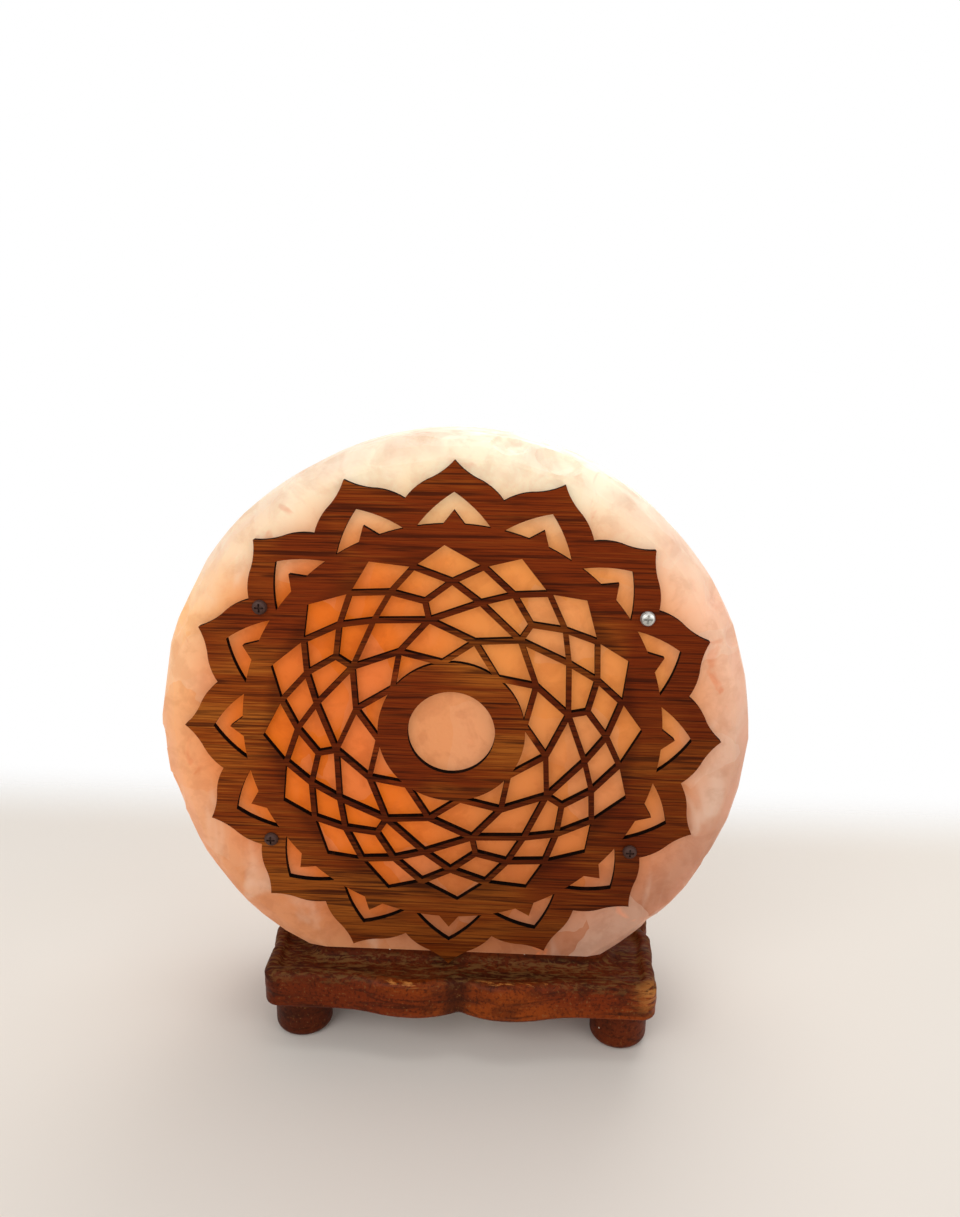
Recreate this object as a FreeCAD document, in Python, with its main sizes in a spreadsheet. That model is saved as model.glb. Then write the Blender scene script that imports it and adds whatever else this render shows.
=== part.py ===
import FreeCAD, Part
import math
import os

import Sketcher
from FreeCAD import Placement, Rotation, Vector

# Salt crystal lamp: a disc of rock salt stands on edge on a carved wooden base, with a laser-cut
# wooden mandala screwed to its front and a lampholder pushed up into its bore from below.
# Millimetres. +Z is up, -Y is the front, and the origin is on the floor under the middle.

FULL_TURN = 360.0

# ---------------------------------------------------------------------------------------------
# Driving dimensions: one row each, with the alias that the sheet gives it
# ---------------------------------------------------------------------------------------------
SIZE_ROWS = [
    # turned feet
    ("foot_height", 20.0),
    ("foot_diameter", 24.5),
    ("foot_edge_round", 4.0),
    ("foot_spread_x", 69.5),
    ("foot_spread_y", 27.5),
    # carved base board
    ("board_half_width", 83.5),
    ("board_half_depth", 45.5),
    ("board_thickness", 17.4),
    ("board_corner_round", 7.0),
    ("board_lip_round", 3.5),
    ("board_under_round", 2.0),
    ("front_lobe_rise", 4.5),
    ("front_lobe_peak", 20.0),
    ("front_lobe_end", 52.0),
    ("front_notch_depth", 5.5),
    ("side_lobe_rise", 1.3),
    ("side_lobe_peak", 10.0),
    ("side_lobe_end", 24.0),
    ("side_notch_depth", 3.8),
    ("lip_width", 6.0),
    ("dish_depth", 2.5),
    ("seat_rise", 3.2),
    ("seat_half_width", 63.0),
    ("seat_setback", 0.8),
    ("cove_radius", 5.0),
    # the base stands this far to the right of the disc's middle
    ("base_shift", 5.5),
    # salt disc
    ("salt_radius", 120.0),
    ("salt_thickness", 60.0),
    ("salt_flat_drop", 96.5),
    ("salt_bevel_width", 7.5),
    ("salt_bevel_depth", 14.0),
    ("salt_hewn_depth", 1.6),
    # bore for the lampholder, through the board and up into the salt
    ("bore_diameter", 42.0),
    ("bore_depth", 100.0),
    ("bore_tip_height", 8.0),
    # mandala panel, as steps outward from its centre
    ("panel_thickness", 3.0),
    ("panel_lift", 5.5),
    ("centre_hole_radius", 17.3),
    ("centre_ring_width", 11.9),
    ("step_to_inner_knots", 9.5),
    ("step_to_fork_knots", 8.0),
    ("step_to_third_knots", 7.5),
    ("step_to_second_knots", 6.9),
    ("step_to_outer_knots", 6.8),
    ("step_to_star_tips", 7.1),
    ("band_width", 7.8),
    ("window_height", 11.8),
    ("petal_rim", 11.4),
    ("petal_root_step", 10.7),
    ("spike_height", 5.1),
    ("strut_width", 2.1),
    ("petal_bulge", 0.9),
    ("petal_hollow", 0.5),
    ("window_bulge", 0.9),
    # pan-head screws of the panel and their plugs
    ("panel_screw_step", 5.7),
    ("panel_screw_head_diameter", 5.7),
    ("panel_screw_head_height", 2.1),
    ("panel_screw_diameter", 2.9),
    ("panel_screw_length", 16.0),
    ("cross_slot_length", 3.4),
    ("cross_slot_width", 0.7),
    ("cross_slot_depth", 1.1),
    ("panel_plug_diameter", 5.0),
    ("panel_plug_tip_room", 2.0),
    # screws that hold the salt down on the board
    ("disc_screw_spread", 46.0),
    ("disc_screw_diameter", 4.5),
    ("disc_screw_length", 50.0),
    ("disc_screw_head_diameter", 9.0),
    ("disc_screw_head_height", 3.2),
    ("disc_screw_recess", 7.0),
    ("disc_screw_recess_diameter", 13.0),
    ("washer_diameter", 11.5),
    ("washer_thickness", 1.0),
    ("disc_plug_diameter", 8.0),
    # foot screws
    ("foot_screw_diameter", 3.5),
    ("foot_screw_length", 25.0),
    ("foot_screw_head_diameter", 7.0),
    ("foot_screw_head_height", 2.4),
    ("foot_screw_recess", 4.0),
    ("foot_screw_recess_diameter", 8.5),
    # lampholder
    ("plate_diameter", 54.0),
    ("plate_thickness", 0.8),
    ("plate_recess_depth", 3.0),
    ("leg_width", 9.0),
    ("leg_thickness", 0.6),
    ("leg_height", 24.0),
    ("leg_root_radius", 16.0),
    ("holder_diameter", 28.0),
    ("holder_wall", 2.0),
    ("holder_height", 38.0),
    ("holder_mouth_diameter", 19.5),
    ("holder_rim_thickness", 3.0),
    ("spigot_height", 6.0),
    ("spigot_wall", 1.8),
    ("insert_height", 12.0),
    ("cap_height", 13.5),
    ("cap_floor", 2.0),
    ("cap_edge_round", 2.5),
    ("inlet_height", 7.5),
    ("inlet_hole_diameter", 8.5),
    ("inlet_bore_diameter", 6.2),
    ("inlet_flange_diameter", 11.0),
    ("inlet_flange_thickness", 1.5),
    ("inlet_length", 6.0),
    ("terminal_spread", 6.0),
    ("terminal_screw_diameter", 3.0),
    ("terminal_head_diameter", 5.0),
    ("terminal_head_height", 1.6),
    ("terminal_screw_length", 6.0),
    # screw thread of the bulb and its shell, drawn as plain rings
    ("thread_diameter", 13.9),
    ("thread_depth", 0.6),
    ("thread_pitch", 2.8),
    ("thread_play", 0.3),
    ("shell_wall", 0.4),
    ("contact_height", 3.0),
    ("contact_width", 4.0),
    ("contact_thickness", 0.4),
    ("contact_reach", 5.5),
    # bulb
    ("bulb_tip_height", 1.2),
    ("bulb_tip_diameter", 4.6),
    ("bulb_insulator_height", 2.4),
    ("bulb_cap_wall", 0.3),
    ("bulb_skirt_height", 4.0),
    ("bulb_skirt_diameter", 16.5),
    ("bulb_neck_height", 12.0),
    ("bulb_diameter", 25.4),
    ("bulb_straight_height", 42.0),
    ("bulb_glass_wall", 0.8),
    ("stem_diameter", 8.0),
    ("stem_height", 34.0),
    ("lead_spread", 5.0),
    ("lead_height", 16.0),
    ("lead_diameter", 0.6),
    ("filament_diameter", 0.5),
    # clearances
    ("fit_gap", 0.1),
    ("running_gap", 0.3),
]

# counts and angles of the ornament, in degrees
PETALS = 16
FOLDS = 8
SALT_SIDES = 40
PETAL_STEP = FULL_TURN / PETALS
FOLD_STEP = FULL_TURN / FOLDS
WINDOW_HALF_ANGLE = 9.6
SPIKE_HALF_ANGLE = 2.8
STAR_TIP_ANGLE = -2.6
OUTER_KNOT_ANGLE = 9.8
SECOND_KNOT_ANGLE = -0.3
THIRD_KNOT_ANGLE = 11.2
FORK_KNOT_ANGLE = 33.9
INNER_KNOT_ANGLE = 13.0
RING_KNOT_ANGLE = 37.5
PANEL_SCREW_ANGLE = 2.5 * PETAL_STEP
THREAD_RINGS = 4


class Size:
    """A length and the sheet expression that gives it, so that sums of sizes stay bound."""

    def __init__(self, value, text):
        self.value = value
        self.text = text

    def join(self, other, sign, value):
        return Size(value, f"({self.text} {sign} {other.text})")

    def __add__(self, other):
        other = as_size(other)
        return self.join(other, "+", self.value + other.value)

    def __radd__(self, other):
        return as_size(other) + self

    def __sub__(self, other):
        other = as_size(other)
        return self.join(other, "-", self.value - other.value)

    def __rsub__(self, other):
        return as_size(other) - self

    def __mul__(self, other):
        other = as_size(other)
        return self.join(other, "*", self.value * other.value)

    def __rmul__(self, other):
        return as_size(other) * self

    def __truediv__(self, other):
        other = as_size(other)
        return self.join(other, "/", self.value / other.value)

    def __neg__(self):
        return 0.0 - self

    def __float__(self):
        return self.value


def as_size(item):
    """Plain numbers join sums of sizes as themselves."""
    if isinstance(item, Size):
        return item
    return Size(float(item), repr(float(item)))


def beside(radius, offset):
    """How far out a flat of that half width can reach inside a round bore."""
    value = math.sqrt(radius.value ** 2 - offset.value ** 2)
    return Size(value, f"sqrt({radius.text} ^ 2 - {offset.text} ^ 2)")


doc = FreeCAD.newDocument("SaltCrystalLamp")
sheet = doc.addObject("Spreadsheet::Sheet", "Sizes")
size = {}
for row, (alias, number) in enumerate(SIZE_ROWS, start=1):
    sheet.set(f"A{row}", alias)
    sheet.set(f"B{row}", str(number))
    sheet.setAlias(f"B{row}", alias)
    size[alias] = Size(number, f"Sizes.{alias}")
doc.recompute()


# ---------------------------------------------------------------------------------------------
# Helpers
# ---------------------------------------------------------------------------------------------
def bind(thing, **sizes):
    """Set properties from sizes; a double underscore in a name stands for a dot."""
    for name, item in sizes.items():
        thing.setExpression(name.replace("__", "."), as_size(item).text)


def new_body(name):
    body = doc.addObject("PartDesign::Body", name)
    body.Label = name
    return body


def new_sketch(body, name, role, offset=None):
    """A sketch on one of the body's own origin planes, lifted off it by offset."""
    sketch = body.newObject("Sketcher::SketchObject", name)
    plane = next(item for item in body.Origin.OriginFeatures if item.Role == role)
    sketch.AttachmentSupport = (plane, [""])
    sketch.MapMode = "FlatFace"
    if offset is not None:
        bind(sketch, AttachmentOffset__Base__z=offset)
    return sketch


def add_profile(sketch, points):
    """A closed polygon through points of two sizes each, every corner held by its sizes."""
    flat = [Vector(float(x), float(y), 0) for x, y in points]
    count = len(flat)
    first = sketch.GeometryCount
    for index in range(count):
        sketch.addGeometry(Part.LineSegment(flat[index], flat[(index + 1) % count]), False)
    for index in range(count):
        after = first + (index + 1) % count
        sketch.addConstraint(Sketcher.Constraint("Coincident", first + index, 2, after, 1))
    for index, (x, y) in enumerate(points):
        for kind, item in (("DistanceX", x), ("DistanceY", y)):
            hold = Sketcher.Constraint(kind, -1, 1, first + index, 1, float(item))
            number = sketch.addConstraint(hold)
            if isinstance(item, Size):
                sketch.setExpression(f"Constraints[{number}]", item.text)


def add_circle(sketch, x, y, radius):
    """A circle whose centre and radius follow the sizes."""
    centre = Vector(float(x), float(y), 0)
    shape = Part.Circle(centre, Vector(0, 0, 1), float(radius))
    index = sketch.addGeometry(shape, False)
    for kind, item in (("DistanceX", x), ("DistanceY", y)):
        hold = Sketcher.Constraint(kind, -1, 1, index, 3, float(item))
        number = sketch.addConstraint(hold)
        if isinstance(item, Size):
            sketch.setExpression(f"Constraints[{number}]", item.text)
    number = sketch.addConstraint(Sketcher.Constraint("Radius", index, float(radius)))
    sketch.setExpression(f"Constraints[{number}]", as_size(radius).text)


def pad(body, name, sketch, length, backward=False):
    feature = body.newObject("PartDesign::Pad", name)
    feature.Profile = sketch
    feature.Reversed = backward
    bind(feature, Length=length)
    doc.recompute()
    return feature


def pocket(body, name, sketch, length, backward=False):
    """Cut away from the sketch; the volume has to fall, or the cut pointed into the air."""
    doc.recompute()
    before = body.Shape.Volume
    feature = body.newObject("PartDesign::Pocket", name)
    feature.Profile = sketch
    feature.Reversed = backward
    bind(feature, Length=length)
    doc.recompute()
    if body.Shape.Volume >= before:
        raise RuntimeError(f"{name} cuts nothing")
    return feature


def turn(body, name, profile, cut=False, aside=None):
    """Revolve a half section given as (radius, height) about an upright axis, aside in x."""
    sketch = new_sketch(body, name + "_section", "XZ_Plane")
    if aside is not None:
        bind(sketch, AttachmentOffset__Base__x=aside)
    add_profile(sketch, profile)
    kind = "PartDesign::Groove" if cut else "PartDesign::Revolution"
    doc.recompute()
    before = body.Shape.Volume if cut else 0.0
    feature = body.newObject(kind, name)
    feature.Profile = sketch
    feature.ReferenceAxis = (sketch, ["V_Axis"])
    feature.Angle = FULL_TURN
    doc.recompute()
    if cut and body.Shape.Volume >= before:
        raise RuntimeError(f"{name} cuts nothing")
    return feature


def turned_body(name, profile):
    body = new_body(name)
    turn(body, name + "_turned", profile)
    return body


def round_edges(body, name, radius, wanted):
    """Fillet the edges of the body for which wanted(edge) is true."""
    doc.recompute()
    base = body.Tip
    names = [f"Edge{i}" for i, edge in enumerate(base.Shape.Edges, start=1) if wanted(edge)]
    if not names:
        raise RuntimeError(f"{name} finds no edge")
    feature = body.newObject("PartDesign::Fillet", name)
    feature.Base = (base, names)
    bind(feature, Radius=radius)
    doc.recompute()
    return feature


def lies_at(edge, height):
    """True for an edge that lies flat at a height."""
    box = edge.BoundBox
    return abs(box.ZMin - float(height)) < 1e-4 and abs(box.ZMax - float(height)) < 1e-4


def place_body(thing, x=0.0, y=0.0, z=0.0):
    bind(thing, Placement__Base__x=x, Placement__Base__y=y, Placement__Base__z=z)


def on_base(thing):
    """Stand a piece that is centred on the base where the base stands."""
    bind(thing, Placement__Base__x=size["base_shift"])
    doc.recompute()
    return thing


def group(name, pieces):
    """One node of separate solids."""
    node = doc.addObject("Part::Compound", name)
    node.Label = name
    node.Links = pieces
    doc.recompute()
    return node


def mirrored(source, name, normal):
    twin = doc.addObject("Part::Mirroring", name)
    twin.Source = source
    twin.Normal = normal
    twin.Base = Vector(0, 0, 0)
    doc.recompute()
    return twin


def polar(radius, angle):
    """A point at an angle in degrees, clockwise from straight up, as the front shows it."""
    turn_angle = math.radians(angle)
    return Vector(float(radius) * math.sin(turn_angle), float(radius) * math.cos(turn_angle), 0)


def bowed(start, end, bulge, centre=Vector(0, 0, 0)):
    """An arc from start to end whose middle stands off the chord by bulge, away from centre."""
    middle = (start + end) / 2
    chord = end - start
    side = Vector(-chord.y, chord.x, 0).normalize()
    if side.dot(middle - centre) < 0:
        side = -side
    return Part.Arc(start, middle + side * float(bulge), end)


# ---------------------------------------------------------------------------------------------
# Heights that several pieces share
# ---------------------------------------------------------------------------------------------
lip_top = size["foot_height"] + size["board_thickness"]
seat_top = lip_top + size["seat_rise"]
dish_floor = lip_top - size["dish_depth"]
washer_top = size["foot_height"] + size["disc_screw_recess"]
washer_bottom = washer_top - size["washer_thickness"]
disc_screw_end = washer_bottom + size["disc_screw_length"]
disc_plug_length = disc_screw_end - seat_top
salt_centre = seat_top + size["salt_flat_drop"]
panel_centre = salt_centre + size["panel_lift"]
salt_front = size["salt_thickness"] / 2
bore_radius = size["bore_diameter"] / 2
seat_half_depth = salt_front - size["seat_setback"]


# ---------------------------------------------------------------------------------------------
# Carved base board
# ---------------------------------------------------------------------------------------------
def lobed_side(half_length, edge, rise, peak, end, notch, corner):
    """One side of the board, from its left corner round to its right one, as (along, out).

    A notch in the middle has a lobe on each side of it. Each lobe runs from its peak back to the
    straight edge through two equal arcs, so it stays smooth.
    """
    top = edge + rise
    middle = ((peak + end) / 2, edge + rise / 2)
    lobe_radius = ((end - peak) ** 2 / 4 + rise ** 2 / 4) / rise
    half_turn = math.asin((end - peak) / 2 / lobe_radius) / 2
    shift = lobe_radius * math.sin(half_turn)
    drop = lobe_radius * (1 - math.cos(half_turn))
    notch_radius = (peak ** 2 + notch ** 2) / (2 * notch)
    notch_turn = math.asin(peak / notch_radius) / 2
    notch_point = (peak - notch_radius * math.sin(notch_turn),
                   top - notch_radius * (1 - math.cos(notch_turn)))
    right = [
        ("arc", (0, top - notch), notch_point, (peak, top)),
        ("arc", (peak, top), (peak + shift, top - drop), middle),
        ("arc", middle, (end - shift, edge + drop), (end, edge)),
        ("line", (end, edge), (half_length - corner, edge)),
    ]
    left = []
    for kind, *points in reversed(right):
        left.append((kind, *[(-along, out) for along, out in reversed(points)]))
    return left + right


def board_outline(inset, corner):
    """The scalloped outline in plan, drawn in by inset, as one ring of lines and arcs."""
    half_width = float(size["board_half_width"]) - inset
    half_depth = float(size["board_half_depth"]) - inset
    front = lobed_side(half_width, half_depth, float(size["front_lobe_rise"]),
                       float(size["front_lobe_peak"]), float(size["front_lobe_end"]),
                       float(size["front_notch_depth"]), corner)
    side = lobed_side(half_depth, half_width, float(size["side_lobe_rise"]),
                      float(size["side_lobe_peak"]), float(size["side_lobe_end"]),
                      float(size["side_notch_depth"]), corner)
    to_plan = (
        (front, lambda along, out: Vector(along, -out, 0)),
        (side, lambda along, out: Vector(out, along, 0)),
        (front, lambda along, out: Vector(-along, out, 0)),
        (side, lambda along, out: Vector(-out, -along, 0)),
    )
    corner_mid = corner * (1 - math.sqrt(0.5))
    ring = []
    for edges, place in to_plan:
        for kind, *points in edges:
            spots = [place(*point) for point in points]
            ring.append(Part.LineSegment(*spots) if kind == "line" else Part.Arc(*spots))
        half_length = half_width if edges is front else half_depth
        edge = half_depth if edges is front else half_width
        ring.append(Part.Arc(place(half_length - corner, edge),
                             place(half_length - corner_mid, edge - corner_mid),
                             place(half_length, edge - corner)))
    return ring


def draw(sketch, ring):
    """Put a closed ring of edges in a sketch, joined end to end and held where they are."""
    first = sketch.GeometryCount
    count = len(ring)
    sketch.addGeometry(ring, False)
    holds = []
    for index in range(first, first + count):
        after = first + (index + 1 - first) % count
        joints = [(near, far) for near in (1, 2) for far in (1, 2)]
        gaps = [sketch.getPoint(index, near).sub(sketch.getPoint(after, far)).Length
                for near, far in joints]
        near, far = joints[gaps.index(min(gaps))]
        if min(gaps) > 1e-6:
            raise RuntimeError(f"{sketch.Name} has a gap of {min(gaps)} in a ring")
        holds.append(Sketcher.Constraint("Coincident", index, near, after, far))
    holds.extend(Sketcher.Constraint("Block", index) for index in range(first, first + count))
    sketch.addConstraint(holds)


def add_rounded_rectangle(sketch, half_width, half_depth, corner):
    """A rectangle about the middle with rounded corners."""
    wide = float(half_width)
    deep = float(half_depth)
    cut = corner * (1 - math.sqrt(0.5))
    ring = []
    for x_sign, y_sign in ((1, -1), (1, 1), (-1, 1), (-1, -1)):
        along_y = Vector(x_sign * wide, y_sign * (deep - corner), 0)
        along_x = Vector(x_sign * (wide - corner), y_sign * deep, 0)
        bend = Vector(x_sign * (wide - cut), y_sign * (deep - cut), 0)
        start, end = (along_x, along_y) if x_sign * y_sign < 0 else (along_y, along_x)
        if ring:
            ring.append(Part.LineSegment(ring[-1].EndPoint, start))
        ring.append(Part.Arc(start, bend, end))
    ring.append(Part.LineSegment(ring[-1].EndPoint, ring[0].StartPoint))
    draw(sketch, ring)


def make_base_board():
    body = new_body("base_board")
    corner = float(size["board_corner_round"])
    outline = new_sketch(body, "board_outline", "XY_Plane", size["foot_height"])
    draw(outline, board_outline(0.0, corner))
    pad(body, "board_blank", outline, size["board_thickness"])
    round_edges(body, "lip_round", size["board_lip_round"],
                lambda edge: lies_at(edge, lip_top))
    round_edges(body, "underside_round", size["board_under_round"],
                lambda edge: lies_at(edge, size["foot_height"]))

    # the dished top between the lip and the seat
    inset = float(size["lip_width"])
    dish = new_sketch(body, "dish_outline", "XY_Plane", lip_top)
    draw(dish, board_outline(inset, max(corner - inset, 1.0)))
    pocket(body, "dish", dish, size["dish_depth"])

    # the raised seat of the salt
    seat = new_sketch(body, "seat_outline", "XY_Plane", dish_floor)
    add_rounded_rectangle(seat, size["seat_half_width"], seat_half_depth, corner)
    pad(body, "seat", seat, seat_top - dish_floor)

    round_edges(body, "cove", size["cove_radius"],
                lambda edge: lies_at(edge, dish_floor) and on_seat(edge))

    # bore for the lampholder and the recess of its plate
    bore = new_sketch(body, "bore_circle", "XY_Plane", size["foot_height"])
    add_circle(bore, 0, 0, bore_radius)
    pocket(body, "bore", bore, seat_top, backward=True)
    recess = new_sketch(body, "plate_recess_circle", "XY_Plane", size["foot_height"])
    add_circle(recess, 0, 0, size["plate_diameter"] / 2 + size["running_gap"])
    pocket(body, "plate_recess", recess, size["plate_recess_depth"], backward=True)

    # holes for the screws that hold the salt, with recesses for their heads
    holes = new_sketch(body, "disc_screw_circles", "XY_Plane", size["foot_height"])
    recesses = new_sketch(body, "disc_screw_recess_circles", "XY_Plane", size["foot_height"])
    for side in (-1, 1):
        place = side * size["disc_screw_spread"]
        add_circle(holes, place, 0, size["disc_screw_diameter"] / 2 + size["fit_gap"])
        add_circle(recesses, place, 0, size["disc_screw_recess_diameter"] / 2)
    pocket(body, "disc_screw_holes", holes, seat_top, backward=True)
    pocket(body, "disc_screw_recesses", recesses, size["disc_screw_recess"], backward=True)

    # pilot holes for the foot screws
    pilots = new_sketch(body, "foot_pilot_circles", "XY_Plane", size["foot_height"])
    for x_side in (-1, 1):
        for y_side in (-1, 1):
            add_circle(pilots, x_side * size["foot_spread_x"], y_side * size["foot_spread_y"],
                       size["foot_screw_diameter"] / 2 + size["fit_gap"])
    pocket(body, "foot_pilots", pilots, foot_pilot_depth, backward=True)
    return on_base(body)


def on_seat(edge):
    """True for an edge no further out than the seat's wall."""
    box = edge.BoundBox
    reach = 1e-3
    return (max(abs(box.XMin), abs(box.XMax)) < float(size["seat_half_width"]) + reach
            and max(abs(box.YMin), abs(box.YMax)) < float(seat_half_depth) + reach)


# ---------------------------------------------------------------------------------------------
# Feet and the screws that hold them
# ---------------------------------------------------------------------------------------------
foot_screw_seat = size["foot_screw_recess"] + size["foot_screw_head_height"]
foot_screw_end = size["foot_screw_recess"] + size["foot_screw_length"]
foot_pilot_depth = foot_screw_end - size["foot_height"] + size["running_gap"]




def make_foot(name, x_side, y_side):
    """A turned foot with a stepped hole for its countersunk screw."""
    hole = size["foot_screw_diameter"] / 2 + size["fit_gap"]
    recess = size["foot_screw_recess_diameter"] / 2
    outer = size["foot_diameter"] / 2
    seat = foot_screw_seat + size["fit_gap"]
    body = turned_body(name, [
        (recess, 0),
        (outer, 0),
        (outer, size["foot_height"]),
        (hole, size["foot_height"]),
        (hole, seat),
        (recess, size["foot_screw_recess"]),
    ])
    round_edges(body, name + "_round", size["foot_edge_round"],
                lambda edge: lies_at(edge, 0) and edge.Length > math.pi * 2 * float(outer) * 0.9)
    place_body(body, size["base_shift"] + x_side * size["foot_spread_x"],
               y_side * size["foot_spread_y"])
    return body


def make_foot_screws():
    """Four countersunk wood screws, heads down in the feet."""
    shank = size["foot_screw_diameter"] / 2
    head = size["foot_screw_head_diameter"] / 2
    bottom = size["foot_screw_recess"]
    point = size["foot_screw_diameter"]
    screw = turned_body("foot_screw", [
        (0, bottom),
        (head, bottom),
        (shank, foot_screw_seat),
        (shank, foot_screw_end - point),
        (0, foot_screw_end),
    ])
    place_body(screw, size["foot_spread_x"], size["foot_spread_y"])
    pair = group("foot_screw_pair", [screw, mirrored(screw, "foot_screw_left", Vector(1, 0, 0))])
    rear = mirrored(pair, "foot_screw_pair_front", Vector(0, 1, 0))
    return on_base(group("foot_screws", [pair, rear]))


# ---------------------------------------------------------------------------------------------
# Salt disc
# ---------------------------------------------------------------------------------------------
def hewn_ring(radius):
    """Corners of the salt's rim: a many-sided ring whose flats were hewn by hand."""
    corners = []
    for index in range(SALT_SIDES):
        bite = 0.5 + 0.5 * math.sin(2.4 * index * index + 0.7)
        quarter = index % (SALT_SIDES // 4) == 0
        depth = 0.0 if quarter else float(size["salt_hewn_depth"]) * bite
        share = 1.0 - depth / float(size["salt_radius"])
        corners.append(polar(float(radius) * share, index * FULL_TURN / SALT_SIDES))
    return corners


def make_salt_disc():
    body = new_body("salt_disc")
    rim = size["salt_radius"]
    half = salt_front
    width = size["salt_bevel_width"]
    depth = size["salt_bevel_depth"]
    # the bevel is two flats: a steep one by the face and a shallow one by the rim
    stations = [
        (half, rim - width),
        (half - depth * 0.36, rim - width * 0.4),
        (half - depth, rim),
        (depth - half, rim),
        (depth * 0.36 - half, rim - width * 0.4),
        (-half, rim - width),
    ]
    sketches = []
    for index, (offset, radius) in enumerate(stations):
        sketch = new_sketch(body, f"salt_section_{index}", "XZ_Plane", offset)
        corners = hewn_ring(radius)
        ring = [Part.LineSegment(corners[i - 1], corners[i]) for i in range(len(corners))]
        draw(sketch, ring)
        sketches.append(sketch)
    loft = body.newObject("PartDesign::AdditiveLoft", "salt_blank")
    loft.Profile = sketches[0]
    loft.Sections = sketches[1:]
    loft.Ruled = True
    doc.recompute()

    # the flat that stands on the seat
    under = new_sketch(body, "salt_flat_circle", "XY_Plane", -size["salt_flat_drop"])
    add_circle(under, 0, 0, rim)
    pocket(body, "salt_flat", under, rim)

    # blind bore with a drilled end, plug holes for the panel, and plug holes in the flat
    reach = bore_radius
    base = -size["salt_flat_drop"]
    top = base + size["bore_depth"]
    turn(body, "bore_in_salt", [
        (0, base),
        (reach, base),
        (reach, top),
        (0, top + size["bore_tip_height"]),
    ], cut=True, aside=size["base_shift"])
    hole = size["panel_plug_diameter"] / 2 + size["fit_gap"]
    front = new_sketch(body, "panel_plug_circles", "XZ_Plane", salt_front)
    for x_side in (-1, 1):
        for z_side in (-1, 1):
            add_circle(front, x_side * panel_screw_x, size["panel_lift"] + z_side * panel_screw_z, hole)
    pocket(body, "panel_plug_holes", front, panel_plug_length + size["running_gap"])
    low = new_sketch(body, "disc_plug_circles", "XY_Plane", base)
    for side in (-1, 1):
        add_circle(low, size["base_shift"] + side * size["disc_screw_spread"], 0,
                   size["disc_plug_diameter"] / 2 + size["fit_gap"])
    pocket(body, "disc_plug_holes", low, disc_plug_length + size["running_gap"], backward=True)
    place_body(body, z=salt_centre)
    return body


# ---------------------------------------------------------------------------------------------
# Mandala panel
# ---------------------------------------------------------------------------------------------
ring_edge = size["centre_hole_radius"] + size["centre_ring_width"]
inner_knots = ring_edge + size["step_to_inner_knots"]
fork_knots = inner_knots + size["step_to_fork_knots"]
third_knots = fork_knots + size["step_to_third_knots"]
second_knots = third_knots + size["step_to_second_knots"]
outer_knots = second_knots + size["step_to_outer_knots"]
star_tips = outer_knots + size["step_to_star_tips"]
window_base = star_tips + size["band_width"]
window_apex = window_base + size["window_height"]
petal_tip = window_apex + size["petal_rim"]
petal_root = window_base + size["petal_root_step"]
spike_tip = window_base + size["spike_height"]
panel_screw_circle = window_base + size["panel_screw_step"]
panel_screw_x = panel_screw_circle * math.sin(math.radians(PANEL_SCREW_ANGLE))
panel_screw_z = panel_screw_circle * math.cos(math.radians(PANEL_SCREW_ANGLE))
panel_front = salt_front + size["panel_thickness"]
panel_plug_length = (size["panel_screw_length"] - size["panel_thickness"]
                     + size["panel_plug_tip_room"])


def petal_edges(index):
    """One petal: an ogee up to its tip and its mirror image back down to the next root."""
    middle = index * PETAL_STEP
    tip = polar(petal_tip, middle)
    edges = []
    for side in (-1, 1):
        root = polar(petal_root, middle + side * PETAL_STEP / 2)
        change = root + (tip - root) * 0.55
        full = bowed(root, change, size["petal_bulge"])
        hollow = bowed(change, tip, -size["petal_hollow"])
        edges.append((full, hollow))
    (rise_full, rise_hollow), (fall_full, fall_hollow) = edges
    return [rise_full, rise_hollow,
            Part.Arc(fall_hollow.EndPoint, middle_of(fall_hollow), fall_hollow.StartPoint),
            Part.Arc(fall_full.EndPoint, middle_of(fall_full), fall_full.StartPoint)]


def middle_of(arc):
    return arc.value((arc.FirstParameter + arc.LastParameter) / 2)


def window_ring():
    """The opening in a petal: two bowed sides, a curved sill and the spike that stands on it."""
    apex = polar(window_apex, 0)
    left = polar(window_base, -WINDOW_HALF_ANGLE)
    right = polar(window_base, WINDOW_HALF_ANGLE)
    spike_left = polar(window_base, -SPIKE_HALF_ANGLE)
    spike_right = polar(window_base, SPIKE_HALF_ANGLE)
    spike = polar(spike_tip, 0)
    sill_angle = (WINDOW_HALF_ANGLE + SPIKE_HALF_ANGLE) / 2
    return [
        bowed(left, apex, size["window_bulge"]),
        bowed(apex, right, size["window_bulge"]),
        Part.Arc(right, polar(window_base, sill_angle), spike_right),
        Part.LineSegment(spike_right, spike),
        Part.LineSegment(spike, spike_left),
        Part.Arc(spike_left, polar(window_base, -sill_angle), left),
    ]


def inset_corners(corners, insets):
    """Move each side of a polygon inwards by its own inset and return the new corners.

    The corners run clockwise. insets[i] belongs to the side from corner i to the next one.
    """
    lines = []
    for index, corner in enumerate(corners):
        along = (corners[(index + 1) % len(corners)] - corner).normalize()
        inward = Vector(along.y, -along.x, 0)
        lines.append((corner + inward * insets[index], along))
    moved = []
    for index in range(len(corners)):
        start, along = lines[index - 1]
        other, across = lines[index]
        gap = other - start
        scale = along.x * across.y - along.y * across.x
        reach = (gap.x * across.y - gap.y * across.x) / scale
        moved.append(start + along * reach)
    return moved


def polygon(corners):
    return [Part.LineSegment(corner, corners[(index + 1) % len(corners)])
            for index, corner in enumerate(corners)]


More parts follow.
